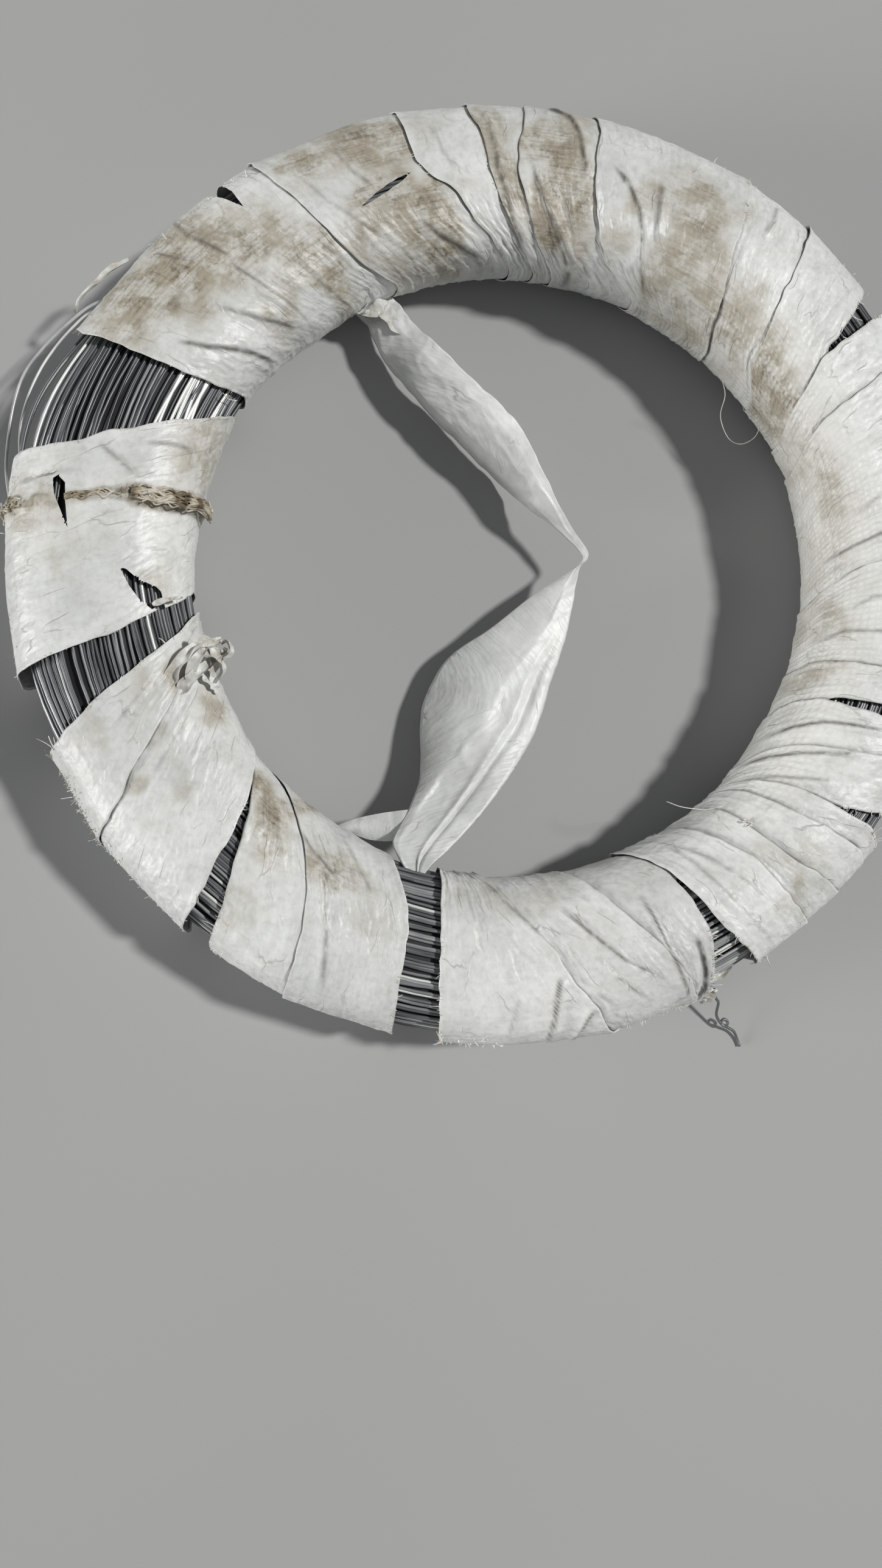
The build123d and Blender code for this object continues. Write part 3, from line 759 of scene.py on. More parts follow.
def wire_material():
    """Dull drawn steel wire, each turn a little lighter or darker at random, with painted light and shade
    by region.
    """
    nodes = Nodes("wire")
    place = nodes.place()
    patch = nodes.noise(place, 60.0, 3.0)
    tone = nodes.total(nodes.attribute("tint"), nodes.product(nodes.total(patch, -0.5), 0.35))
    colour = nodes.ramp(tone, (0.05, (0.04, 0.043, 0.046)), (0.45, (0.155, 0.163, 0.17)),
                        (0.75, (0.36, 0.37, 0.375)), (0.95, (0.85, 0.87, 0.84)))
    nodes.set(Base_Color=colour, Metallic=0.3, Roughness=nodes.ramp(patch, (0.3, 0.3), (0.7, 0.45)))
    nodes.bump(nodes.noise(place, 900.0, 2.0), 0.15, 0.0002)
    return nodes.material


def core_material():
    """Inner turns behind the outer ones, coloured near black as painted shade."""
    nodes = Nodes("inner_turns")
    colour = nodes.ramp(nodes.noise(nodes.place(), 40.0), (0.3, (0.02, 0.02, 0.021)),
                        (0.7, (0.06, 0.062, 0.065)))
    nodes.set(Base_Color=colour, Metallic=0.4, Roughness=0.7)
    return nodes.material


def edge_angles(name, turns):
    """Ring angle of an edge at each turn: as given over the upper side, and straight underneath."""
    radii, angles = zip(*EDGES[name])
    places = [0.0] + [turn_of_radius(radius) for radius in radii[1:-1]] + [180.0]
    wrapped = np.mod(turns, 360)
    lower = angles[-1] + (angles[0] - angles[-1]) * smoothstep(wrapped, 180, 360)
    return np.where(wrapped <= 180, np.interp(wrapped, places, angles), lower)


def soft_edge(name):
    """Ring angle of an edge at every turn of the mesh, without kinks."""
    values = edge_angles(name, TURNS)
    closed = np.concatenate([values[-2:], values, values[:2]])
    return np.convolve(closed, np.array([1, 2, 3, 2, 1]) / 9, "valid")


def polyline_distance(x, y, points):
    """Distance to a line through plan points, signed by side, and the share of the way along it."""
    line = np.array([plan_point(radius, angle) for radius, angle in points])
    before = run_length(line)
    best, side, share = np.full(x.shape, 1e9), np.ones(x.shape), np.zeros(x.shape)
    for start, end, done in zip(line, line[1:], before):
        step = np.linalg.norm(end - start)
        way = (end - start) / step
        along = np.clip((x - start[0]) * way[0] + (y - start[1]) * way[1], 0, step)
        off_x, off_y = x - start[0] - along * way[0], y - start[1] - along * way[1]
        gap = np.hypot(off_x, off_y)
        closer = gap < best
        best = np.where(closer, gap, best)
        side = np.where(closer, np.sign(way[0] * off_y - way[1] * off_x), side)
        share = np.where(closer, (done + along) / before[-1], share)
    return best * side, share


def bell(distance, width, power=2):
    """Falls from 1 to 0 with a distance."""
    return np.exp(-(distance / width) ** power)


def fold_relief(x, y):
    """Height of the listed folds on the upper side, and the dark line at each foot: painted shade and dirt.
    """
    relief, line = np.zeros(x.shape), np.zeros(x.shape)
    angle = np.degrees(np.arctan2(y, x))
    for points, height, left, right in FOLDS:
        middle = np.mean([point[1] for point in points])
        if np.min(np.abs((angle - middle + 180) % 360 - 180)) > FOLD_REACH:
            continue
        distance, share = polyline_distance(x, y, points)
        width = np.maximum(np.where(distance > 0, right, left), LEAST_FLANK)
        taper = smoothstep(share, 0, FOLD_TAPER) * smoothstep(1 - share, 0, FOLD_TAPER)
        relief += height * taper * bell(distance, width)
        # Dark line along each fold's foot, stronger for a higher fold: painted shade, partly dirt
        foot = distance + FOOT_SHARE * (-right if right < left else left)
        line = np.maximum(line, taper * min(1.0, FOOT_SHADE_DEPTH * abs(height)) * bell(foot, FOOT_SHADE_WIDTH))
    distance, share = polyline_distance(x, y, SEAM)
    half_width = np.interp(share, *SEAM_HALF_WIDTH)
    rope = 0.8 * lattice_noise(x / 3.6, y / 3.6, 52) + 0.5 * lattice_noise(x / 1.9, y / 1.9, 51)
    twine = np.interp(share, *SEAM_HEIGHT) + rope * np.interp(share, *SEAM_ROPE)
    relief += bell(distance, half_width, 4) * twine
    # Dark rim along the seam's edges: painted shade, partly dirt
    rim = bell(np.abs(distance) - half_width, 0.9) * np.maximum(0.35 + rope, 0)
    return relief, np.maximum(line, 0.8 * rim * (share > 0.02) * np.interp(share, *SEAM_DIRT_AND_SHADE))


def stain_amount(first_edge, x, y):
    """How dirty one turn of strip is at plan points."""
    ragged_x, ragged_y = (
        value + 7 * lattice_noise(x / 16, y / 16, seed) + 3 * lattice_noise(x / 6, y / 6, seed + 1)
        for value, seed in ((x, 81), (y, 83))
    )
    radius, angle = np.hypot(ragged_x, ragged_y), np.degrees(np.arctan2(ragged_y, ragged_x))
    amount = np.full(x.shape, 0.05)
    for stain_radius, stain_angle, along, across, strength in STAINS.get(first_edge, []):
        turn = (angle - stain_angle + 180) % 360 - 180
        off = (np.radians(turn) * radius / along) ** 2 + ((radius - stain_radius) / across) ** 2
        amount = 1 - (1 - amount) * (1 - min(0.97, 1.1 * strength) * np.exp(-off**2))
    if first_edge == "gap_b_upper":
        distance, share = polyline_distance(x, y, SEAM)
        band = bell(distance, 1.25 * np.interp(share, *SEAM_HALF_WIDTH), 4)
        amount = np.maximum(amount, np.interp(share, *SEAM_DIRT_AND_SHADE) * band)
    return amount


def weave_shows(x, y):
    """How clearly the weave stands out: most on the inner side at the right, where the strip is taut."""
    radius, angle = np.hypot(x, y), np.degrees(np.arctan2(y, x))
    inner = 1 - smoothstep(radius, 172, 196)
    right = 1 - smoothstep(np.abs(angle - 2), 34, 62)
    return 0.12 + 0.88 * inner * right


def inside_outline(x, y, outline):
    """True where plan points lie inside a closed outline."""
    corners = np.array([plan_point(radius, angle) for radius, angle in outline])
    inside = np.zeros(x.shape, bool)
    for (x1, y1), (x2, y2) in zip(corners, np.roll(corners, -1, 0)):
        crosses = (y1 > y) != (y2 > y)
        if y1 != y2:
            inside ^= crosses & (x < (x2 - x1) * (y - y1) / (y2 - y1) + x1)
    return inside


def turn_sheet(index):
    """One turn of strip: points, faces, and the values of each point that its material reads."""
    first, last, first_lies, last_lies = STRIP_TURNS[index][1:]
    start, end = soft_edge(first), soft_edge(last)
    ragged = 0.12 * lattice_noise(LENGTHS / 5.0, LENGTHS * 0 + index, 31)
    width = math.radians(np.mean(start - end)) * RING_MIDDLE
    shares = np.linspace(0, 1, max(8, round(width / ACROSS_SPACING)) + 1)
    first_height, last_height = EDGE_HEIGHTS[first_lies], EDGE_HEIGHTS[last_lies]
    start_line = section_point(start + ragged, TURNS, first_height)[:, None]
    end_line = section_point(end + ragged, TURNS, last_height)[:, None]
    taut = start_line * (1 - shares[:, None]) + end_line * shares[:, None]
    angles = (start + ragged)[:, None] * (1 - shares) + (end + ragged)[:, None] * shares
    round_grid = section_point(angles, TURNS[:, None], first_height * (1 - shares) + last_height * shares)
    grid = taut * (1 - ROUNDED_SHARE) + round_grid * ROUNDED_SHARE
    hidden = np.zeros(len(shares))
    if last_lies == "under":
        nearer = STRIP_TURNS[(index + 1) % len(STRIP_TURNS)]
        grid, hidden = extend_under(grid, hidden, end, nearer[1], nearer[2], False)
    if first_lies == "under":
        nearer = STRIP_TURNS[index - 1]
        grid, hidden = extend_under(grid, hidden, start, nearer[2], nearer[1], True)
    return finish_sheet(index, grid, hidden, width)


def extend_under(grid, hidden, edge, near_name, far_name, at_start):
    """Adds the columns that run on under the neighbouring turn, where no gap lies between the two."""
    far = soft_edge(far_name)
    closed = 1 - smoothstep(np.abs(soft_edge(near_name) - edge), 0.05, 0.6)
    border = grid[:, 0] if at_start else grid[:, -1]
    added = []
    for step in range(1, HIDDEN_COLUMNS + 1):
        reach = edge + (far - edge) * HIDDEN_REACH * step / HIDDEN_COLUMNS * closed
        blend = min(1.0, 2.5 * step / HIDDEN_COLUMNS) * closed[:, None]
        added.append(border * (1 - blend) + section_point(reach, TURNS, -HIDDEN_DEPTH) * blend)
    added = np.stack(added, 1)
    depth = np.ones(HIDDEN_COLUMNS)
    if at_start:
        return np.concatenate([added[:, ::-1], grid], 1), np.concatenate([depth, hidden])
    return np.concatenate([grid, added], 1), np.concatenate([hidden, depth])


def grid_normals(grid):
    """Unit normals of a grid that closes on itself along the turns, pointing out of the section."""
    normal = unit(np.cross(np.roll(grid, -1, 0) - np.roll(grid, 1, 0), np.gradient(grid, axis=1)))
    middle = section_point(np.degrees(np.arctan2(grid[..., 1], grid[..., 0])), 90.0, -WRAP_HALF_HEIGHT)
    return normal * np.sign(np.sum(normal * (grid - middle), axis=2, keepdims=True))


def sheet_relief(index, place, ring_angle, shown):
    """Slack, pulls and crumples of one turn of strip, as heights over its grid."""
    slack = SLACK.get(STRIP_TURNS[index][1], USUAL_SLACK)
    bore_side = smoothstep(-np.cos(np.radians(TURNS[:, None])), -0.5, 0.9)
    swing = lattice_noise(ring_angle / 9.0, LENGTHS[:, None] / 38.0, 5) * 0.7
    place = place[None, :] + 0 * ring_angle
    length = LENGTHS[:, None] + 0 * ring_angle
    bend = 5 * lattice_noise(place / 22.0, length / 30.0 + index, 9)
    tension = lattice_noise((place + bend) / 7.0 + index * 9.7, length / 55.0 + index, 6)
    pulled = np.maximum(0, 1 - np.abs(tension) * 3.2) ** 1.6
    crumple = lattice_noise(place / 5.5 + index * 3.3, length / 9.0, 7)
    second = lattice_noise((place + length) / 8.0 + index, (length - place) / 5.0, 10)
    fine = lattice_noise(place / 2.3 + index, length / 3.1, 13)
    facets = 0.45 * np.maximum(0, 1 - np.abs(crumple) * 2.6) + 0.4 * np.maximum(0, 1 - np.abs(second) * 2.8)
    calm = 0.35 + 0.65 * smoothstep(lattice_noise(ring_angle / 6.0, length / 24.0, 14), -0.4, 0.5)
    gathers = pulled * slack * (0.4 + 0.8 * bore_side)
    return swing + shown * (gathers + calm * (0.75 * facets + 0.05 * fine) + 0.16)


def lap_shade_line(edge, index, distance):
    """Painted shade: a dark line on a turn of strip along the neighbour's edge that lies over it."""
    lit = edge in LIT_LAPS
    strength = LIT_LAP_SHADE if lit else LAP_SHADE
    broken = 0.7 + 0.3 * lattice_noise(LENGTHS / 9.0, LENGTHS * 0 + index * 2.3, 18)[:, None]
    return strength * broken * np.exp(-distance / (LIT_LAP_SHADE_WIDTH if lit else LAP_SHADE_WIDTH))


def finish_sheet(index, grid, hidden, width):
    """Relief, thickness at open edges, values and faces of one turn."""
    first, last, first_lies, last_lies = STRIP_TURNS[index][1:]
    normal = grid_normals(grid)
    x, y = grid[..., 0], grid[..., 1]
    shown = (1 - hidden)[None, :]
    column = np.cumsum(1 - hidden) - (1 - hidden[0])
    place = column / column.max() * width
    ring_angle = np.degrees(np.arctan2(y, x))
    upper = smoothstep(np.sin(np.radians(TURNS[:, None])), -0.45, 0.15)
    folds, line = fold_relief(x, y)
    relief = sheet_relief(index, place, ring_angle, shown) + shown * upper * folds
    lift = lattice_noise(LENGTHS / 14.0, LENGTHS * 0 + index * 1.7, 8)[:, None]
    sides = ((first, first_lies, place, lift), (last, last_lies, width - place, -lift))
    for edge, lies, inward, rise in sides:
        # A neighbour's edge over this turn gets a painted shade line; a free edge curls up
        if lies == "under":
            line = np.maximum(line, lap_shade_line(edge, index, inward[None, :]))
        else:
            relief += (0.2 + 0.8 * np.maximum(rise, 0)) * np.exp(-inward / EDGE_CURL)[None, :] * shown
    points = snap_to_tears(grid + normal * relief[..., None])
    values = {
        "place": np.broadcast_to(place[None, :] + index * 61.0, x.shape),
        "length": np.broadcast_to(LENGTHS[:, None], x.shape),
        "angle": ring_angle,
        "dirt": stain_amount(first, x, y) * upper + 0.03,
        "line": line * upper,
        "tone": np.full(x.shape, TONES.get(first, 1.0)),
        "pillows": weave_shows(x, y),
    }
    points, values = add_lips(points, normal, values, first_lies != "under", last_lies != "under")
    points[..., 2] = np.maximum(points[..., 2], FLOOR_GAP)
    faces = grid_faces(*points.shape[:2], closed_rows=True)
    points = points.reshape(-1, 3)
    middle = points[faces].mean(1)
    keep = np.ones(len(faces), bool)
    for outline in TEARS:
        keep &= ~(inside_outline(middle[:, 0], middle[:, 1], outline) & (middle[:, 2] > MIDDLE_HEIGHT))
    return points, faces[keep], {key: value.ravel() for key, value in values.items()}


def snap_to_tears(points):
    """Moves points beside a tear onto its outline, so that it is cut clean."""
    x, y = points[..., 0], points[..., 1]
    on_top = points[..., 2] > MIDDLE_HEIGHT
    for outline in TEARS:
        corners = np.array([plan_point(radius, angle) for radius, angle in outline])
        if np.hypot(x - corners[:, 0].mean(), y - corners[:, 1].mean()).min() > TEAR_REACH:
            continue
        best = np.full(x.shape, SNAP_REACH)
        target_x, target_y = x, y
        for (x1, y1), (x2, y2) in zip(corners, np.roll(corners, -1, 0)):
            way_x, way_y = x2 - x1, y2 - y1
            share = np.clip(((x - x1) * way_x + (y - y1) * way_y) / (way_x**2 + way_y**2), 0, 1)
            near_x, near_y = x1 + way_x * share, y1 + way_y * share
            gap = np.hypot(x - near_x, y - near_y)
            closer = (gap < best) & on_top
            best = np.where(closer, gap, best)
            target_x, target_y = np.where(closer, near_x, target_x), np.where(closer, near_y, target_y)
        x, y = target_x, target_y
    return np.stack([x, y, points[..., 2]], -1)


# Thickness of the strip, how far it goes back under an open edge, how deep a free edge curls up, how near
# a point snaps to a tear, and how near a tear's middle has to be
STRIP_THICKNESS = 0.35
LIP_DEPTH = 1.6
EDGE_CURL = 3.0
SNAP_REACH = 0.75
TEAR_REACH = 40


def add_lips(points, normal, values, at_start, at_end):
    """Gives open edges the strip's thickness: a face down the edge and a narrow one back beneath."""
    def lip(edge, inner, edge_normal):
        low = edge - edge_normal * STRIP_THICKNESS
        return low[:, None], (low + unit(inner - edge) * LIP_DEPTH)[:, None]

    parts = [points]
    if at_start:
        low, back = lip(points[:, 0], points[:, 2], normal[:, 0])
        parts = [back, low] + parts
    if at_end:
        parts += lip(points[:, -1], points[:, -3], normal[:, -1])
    added = (2 if at_start else 0, 2 if at_end else 0)
    values = {key: np.pad(value, ((0, 0), added), "edge") for key, value in values.items()}
    return np.concatenate(parts, 1), values


def wrap_piece(node, material):
    """All turns of strip of one node, joined in one mesh."""
    sheets = [turn_sheet(index) for index, row in enumerate(STRIP_TURNS) if row[0] == node]
    points, faces = join_parts([sheet[:2] for sheet in sheets])
    piece = make_piece(node + "_strip", points, faces, material, "woven_strip")
    place, length, angle, dirt, line, tone, pillows = (
        np.concatenate([sheet[2][key] for sheet in sheets])
        for key in ("place", "length", "angle", "dirt", "line", "tone", "pillows")
    )
    along = np.radians(angle) * RING_MIDDLE
    add_attributes(piece, weave=np.stack([place, length, 0 * place], -1),
                   around=np.stack([along, length, 0 * place], -1), dirt=dirt, line=line, tone=tone,
                   pillows=pillows)
    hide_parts(node)
    return piece


def bundle_table():
    """Turn against length round the bundle's section."""
    fine = np.arange(0.0, 360.01, 0.5)
    across, up = rounded(fine)
    return fine, run_length(np.stack([BUNDLE_HALF_WIDTH * across, BUNDLE_HALF_HEIGHT * up], -1))


def wire_path(chance, place, angles, turns, reached):
    """Path of one turn of wire from a place round the section, wandering a little among its neighbours."""
    wander = np.zeros(WIRE_STEPS)
    for wave in range(1, 9):
        size = chance.uniform(0.2, 0.9) / wave**0.5
        wander += size * np.cos(np.radians(wave * angles + chance.uniform(0, 360)))
    group = 1.6 * lattice_noise(angles / 30.0, angles * 0 + place / 9.0, 12)
    depth = WIRE_DIAMETER / 2 + chance.uniform(0, 1.3)
    if chance.random() < SLACK_WIRES:
        wander *= 3.0
        depth = WIRE_DIAMETER / 2 - chance.uniform(0, 0.7)
    turn = np.interp(np.mod(place + wander + group, reached[-1]), reached, turns)
    path = bundle_point(angles, turn, depth)
    path[:, 2] = np.maximum(path[:, 2], WIRE_DIAMETER / 2 + FLOOR_GAP)
    return path, 215 < np.median(turn) < 325


def wire_turns(material):
    """Outer turns of wire, each a closed ring, with the underneath ones in fewer sides."""
    chance = np.random.default_rng(11)
    turns, reached = bundle_table()
    count = round(reached[-1] / WIRE_PITCH)
    angles = np.arange(WIRE_STEPS) * 360.0 / WIRE_STEPS
    parts, tints = [], []
    for wire in range(count):
        place = wire * reached[-1] / count + chance.uniform(-0.35, 0.35)
        path, underneath = wire_path(chance, place, angles, turns, reached)
        if underneath:
            part = tube(path[::2], WIRE_DIAMETER / 2, 4, True)
        else:
            part = tube(path, WIRE_DIAMETER / 2, WIRE_SIDES, True)
        parts.append(part)
        tone = chance.choice(WIRE_TINTS, p=TINT_SHARES)
        x, y = part[0][:, 0], part[0][:, 1]
        # Painted light: lower turns lighter, most at the lower right. Painted shade: upper left turns
        # darker
        painted_light = smoothstep(-y, 120, 180) * (0.22 + 0.15 * smoothstep(x, 60, 100))
        painted_shade = 0.12 * smoothstep(y, 10, 50) * smoothstep(-x, 120, 160)
        tints.append(tone + chance.uniform(-0.06, 0.06) + painted_light - painted_shade)
    points, faces = join_parts(parts)
    piece = make_piece("wire_turns", points, faces, material, "wire")
    add_attributes(piece, tint=np.concatenate(tints))
    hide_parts("wire_coil")


def wire_core(material):
    """Dark body of the inner turns: painted shade between the outer turns."""
    grid = bundle_point(np.arange(0, 360, 4.0), np.arange(0, 360, 12.0)[:, None], WIRE_DIAMETER * 1.5)
    faces = grid_faces(*grid.shape[:2], closed_rows=True, closed_columns=True).tolist()
    make_piece("inner_turns", grid.reshape(-1, 3), faces, material, "wire")


def loose_wires(material):
    """The wires bowed out at the upper left, those that cross its gap, and the curled free end."""
    runs = [(BOWED_WIRE, 80, 0.8, 0.5), (SECOND_WIRE, 70, 0.9, 0.45), (FREE_END, 90, 0.4, 0.5)]
    chance = np.random.default_rng(17)
    # Crossing wires get light tints: painted highlights
    for wire in range(CROSSING_WIRES):
        runs.append((crossing_wire(chance), 24, chance.choice([0.75, 0.95, 1.0]), 0.5))
    for wire in range(BULGED_WIRES):
        runs.append((bulged_wire(chance, 2.0 + wire * 0.9), 50, chance.choice([0.3, 0.5, 0.75, 0.9]), 0.5))
    parts = [tube(smooth_path(path, count), WIRE_DIAMETER * half, 6) for path, count, tone, half in runs]
    points, faces = join_parts(parts)
    piece = make_piece("loose_wires", points, faces, material, "wire")
    tints = [np.full(len(part[0]), run[2]) for part, run in zip(parts, runs)]
    add_attributes(piece, tint=np.concatenate(tints))


def crossing_wire(chance):
    """Path of one wire that crosses its neighbours askew, near the bore in the upper left gap; the light
    tint it gets is a painted highlight.
    """
    turn = chance.uniform(108, 168)
    drift = chance.uniform(-9, 9)
    angles = np.linspace(138, 180, 10)
    turns = turn + drift * (angles - 158) / 14
    return bundle_point(angles, turns, WIRE_DIAMETER / 2 - 1.1 * np.exp(-((angles - 158) / 10) ** 2) + 0.5)


def bulged_wire(chance, reach):
    """Path of one slack wire beyond the bundle's outer side in the upper left gap."""
    turn = chance.uniform(5, 62)
    path = []
    for angle in np.linspace(136, 190, 14):
        slack = reach * math.exp(-((angle - 162) / 11) ** 2)
        place = bundle_point(angle, turn + 4 * math.sin(math.radians(angle * 3)), WIRE_DIAMETER / 2)
        outward = np.array([math.cos(math.radians(angle)), math.sin(math.radians(angle)), 0.0])
        path.append(place + outward * slack * math.cos(math.radians(turn)) - [0, 0, 0.3])
    return path


# Frayed edges: edge, side that is free, first and last radius, threads, and their mean length
FRINGES = [
    ("gap_a_upper", 1, 248, 235, 8, 2.5), ("gap_a_upper", 1, 232, 156, 26, 0.9),
    ("gap_a_lower", -1, 248, 158, 22, 0.8), ("gap_b_upper", 1, 246, 160, 26, 1.0),
    ("gap_b_lower", -1, 246, 224, 14, 2.4), ("gap_b_lower", -1, 222, 158, 22, 1.1),
    ("gap_c_left", 1, 246, 164, 26, 0.9), ("gap_c_right", -1, 248, 200, 40, 2.0),
    ("gap_c_right", -1, 200, 158, 12, 1.0), ("notch_c_left", 1, 248, 176, 26, 1.6),
    ("notch_c_right", -1, 248, 190, 18, 1.2), ("notch_f_upper", -1, 246, 200, 26, 2.6),
    ("notch_f_lower", 1, 246, 200, 22, 2.4), ("notch_e_upper", -1, 246, 200, 26, 2.4),
    ("notch_e_lower", 1, 246, 202, 22, 2.2), ("gap_d_lower", 1, 244, 206, 30, 2.6),
    ("gap_d_upper", -1, 248, 190, 22, 1.2), ("notch_g_upper", -1, 247, 200, 22, 1.8),
    ("notch_g_lower", 1, 247, 200, 18, 1.4), ("corner_out", -1, 249, 200, 18, 1.4),
    ("curled", -1, 206, 190, 10, 1.6), ("ragged_top", -1, 222, 176, 26, 1.4),
]

# Rims with white fluff: first and last angle at the outer side, turn, threads, and their mean length
FLUFF = [
    (206, 219, 18, 130, 1.3), (214, 230, 4, 50, 1.0), (124, 140, 44, 40, 1.3), (229, 236, 12, 40, 1.4),
    (262, 270, 16, 50, 1.3), (284, 304, 14, 50, 1.3), (186, 206, 24, 30, 1.0), (170, 178, 28, 20, 1.6),
    (56, 64, 28, 16, 1.3), (36, 42, 22, 22, 1.2),
]

# Tangles of torn strip and thread: place, size and count of loops
TANGLES = [
    ((-148, -52, 63), 4, 6), ((-137, -48, 62), 2.6, 5), ((-248, 25, 46), 3, 6),
    ((116, -132, 68), 2.6, 7), ((103, -211, 30), 4.5, 9), ((108, -214, 24), 3.5, 8),
    ((53.5, -229.5, 34), 3, 8),
]


class Surface:
    """The outside of the strip, to lay threads and scraps on."""

    def __init__(self, pieces):
        points, faces = [], []
        for piece in pieces:
            start = len(points)
            points += [vertex.co / MM for vertex in piece.data.vertices]
            faces += [[corner + start for corner in face.vertices] for face in piece.data.polygons]
        self.tree = BVHTree.FromPolygons(points, faces)

    def lay(self, point):
        """Nearest place on the strip, and the way out from the ring's middle there."""
        angle = math.atan2(point[1], point[0])
        middle = np.array([RING_MIDDLE * math.cos(angle), RING_MIDDLE * math.sin(angle), MIDDLE_HEIGHT])
        outward = unit(np.asarray(point) - middle)
        hit = self.tree.ray_cast(Vector(middle + outward * 80), Vector(-outward))[0]
        if hit is None or np.linalg.norm(np.array(hit) - middle) < 20:
            hit = point
        return np.array(hit), outward


def thread(chance, start, heading, normal, length):
    """One thin curved thread."""
    side = np.cross(heading, normal)
    bend, curl = chance.normal(0, 0.45), chance.normal(0.15, 0.3)
    share = np.linspace(0, 1, 5)[:, None]
    path = start + length * (heading * share + side * bend * share**2 + normal * curl * share**1.5)
    path[:, 2] = np.maximum(path[:, 2], THREAD_RADIUS * 2)
    return tube(path, THREAD_RADIUS * chance.uniform(0.8, 1.7) * np.array([1.0, 1.0, 0.9, 0.8, 0.6]), 3)


def frayed_edges(chance, surface):
    """Threads that stand out along the torn edges."""
    parts = []
    for name, side, first, last, count, length in FRINGES:
        low, high = turn_of_radius(first), turn_of_radius(last)
        for turn in chance.uniform(low, high, count):
            angle = float(edge_angles(name, np.array([turn]))[0])
            here, normal = surface.lay(section_point(angle - side * 0.25, turn))
            heading = unit(section_point(angle + side * 0.5, turn) - section_point(angle, turn))
            parts.append(thread(chance, here - heading * 0.5, heading, normal,
                                length * chance.lognormal(0, 0.5)))
    for first, last, turn, count, length in FLUFF:
        for angle in chance.uniform(first, last, count):
            place = turn + chance.normal(0, 8)
            here, normal = surface.lay(section_point(angle, place))
            heading = unit(chance.normal(0, 1, 3) + normal * 0.7)
            parts.append(thread(chance, here, heading, normal, length * chance.lognormal(0, 0.45)))
    return parts


def tangles(chance):
    """Small loops of thread and curls of torn tape."""
    parts = []
    for place, size, count in TANGLES:
        for loop in range(count):
            spin = chance.uniform(0, 2 * math.pi)
            arc = np.linspace(0, chance.uniform(3.0, 6.5), 12)
            first, second = np.linalg.qr(chance.normal(0, 1, (3, 3)))[0][:2]
            radius = size * chance.uniform(0.25, 0.6)
            centre = np.array(place) + chance.normal(0, size * 0.3, 3)
            path = centre + radius * (np.cos(arc + spin)[:, None] * first
                                      + np.sin(arc + spin)[:, None] * second * chance.uniform(0.4, 1.0))
            path += np.outer(arc, chance.normal(0, size * 0.06, 3))
            path[:, 2] = np.maximum(path[:, 2], 0.6)
            parts.append(tube(path, chance.choice([0.22, 0.3, 0.55]), 4))
        parts += [torn_curl(chance, place, size) for curl in range(max(2, count // 3))]
    return parts


def torn_curl(chance, place, size):
    """Curled scrap of tape."""
    first, second, third = np.linalg.qr(chance.normal(0, 1, (3, 3)))[0]
    centre = np.array(place) + chance.normal(0, size * 0.25, 3)
    arc = np.linspace(0, chance.uniform(1.5, 4.0), 9)
    radius = size * chance.uniform(0.25, 0.5)
    half = size * chance.uniform(0.15, 0.35)
    line = centre + radius * (np.cos(arc)[:, None] * first + np.sin(arc)[:, None] * second)
    width = half * (1 - 0.6 * np.linspace(0, 1, 9)[:, None] ** 2)
    points = np.stack([line - third * width, line + third * width], 1).reshape(-1, 3)
    points[:, 2] = np.maximum(points[:, 2], 0.6)
    return points, grid_faces(len(arc), 2)


def seam_twine(material, surface):
    """Matted stitching twine in the sewn seam: many short loose strands along its thick end."""
    chance = np.random.default_rng(29)
    parts = []
    for first, last, strands, spread, lift in TWINE_RUNS:
        for strand in range(strands):
            start = chance.uniform(first - 10, first) if strand % 2 else first
            end = chance.uniform(last, last + 14) if strand % 3 else last
            radius = np.linspace(start, end, 46)
            angle = np.interp(-radius, [-row[0] for row in SEAM], [row[1] for row in SEAM])
            laid = [surface.lay(section_point(a, turn_of_radius(r))) for r, a in zip(radius, angle)]
            line, out = (np.array(rows) for rows in zip(*laid))
            along = -np.stack([np.sin(np.radians(angle)), -np.cos(np.radians(angle)), angle * 0], -1)
            phase = chance.uniform(0, 6.28) + (radius - start) * chance.uniform(0.35, 1.1)
            across = chance.normal(0, spread) + chance.uniform(0.5, 1.6) * np.sin(phase)
            up = 0.3 + chance.uniform(0, lift) + 0.6 * np.cos(phase * 0.8)
            path = line + across[:, None] * along + np.maximum(up, 0.2)[:, None] * out
            parts.append(tube(path, chance.uniform(0.3, 0.75) * (1 + 0.25 * np.sin(phase * 2.3)), 5))
    make_piece("seam_twine", *join_parts(parts), material, "woven_strip")


def ribbon(path, width, twist, cup):
    """Narrow scrap of strip along a path, turned and cupped as it goes."""
    line = smooth_path(path, 26)
    heading = unit(np.gradient(line, axis=0))
    side = unit(np.cross(heading, [0.0, 0.0, 1.0]))
    lift = np.cross(side, heading)
    share = np.linspace(0, 1, len(line))
    spin = np.radians(twist[0] + (twist[1] - twist[0]) * share)[:, None]
    side, lift = side * np.cos(spin) + lift * np.sin(spin), lift * np.cos(spin) - side * np.sin(spin)
    half = (width * (1 - 0.45 * share**2) * (1 - 0.8 * (2 * share - 1) ** 8) / 2)[:, None]
    half *= 1 + 0.25 * lattice_noise(share * 7, share * 0 + width, 73)[:, None]
    columns = []
    for across in np.linspace(-1, 1, 7):
        ruffle = 0.75 * lattice_noise(share * 9, share * 0 + across * 2 + width, 71)[:, None]
        columns.append(line + side * half * across + lift * (cup * across**2 + ruffle))
    return np.stack(columns, 1).reshape(-1, 3), grid_faces(len(line), len(columns))


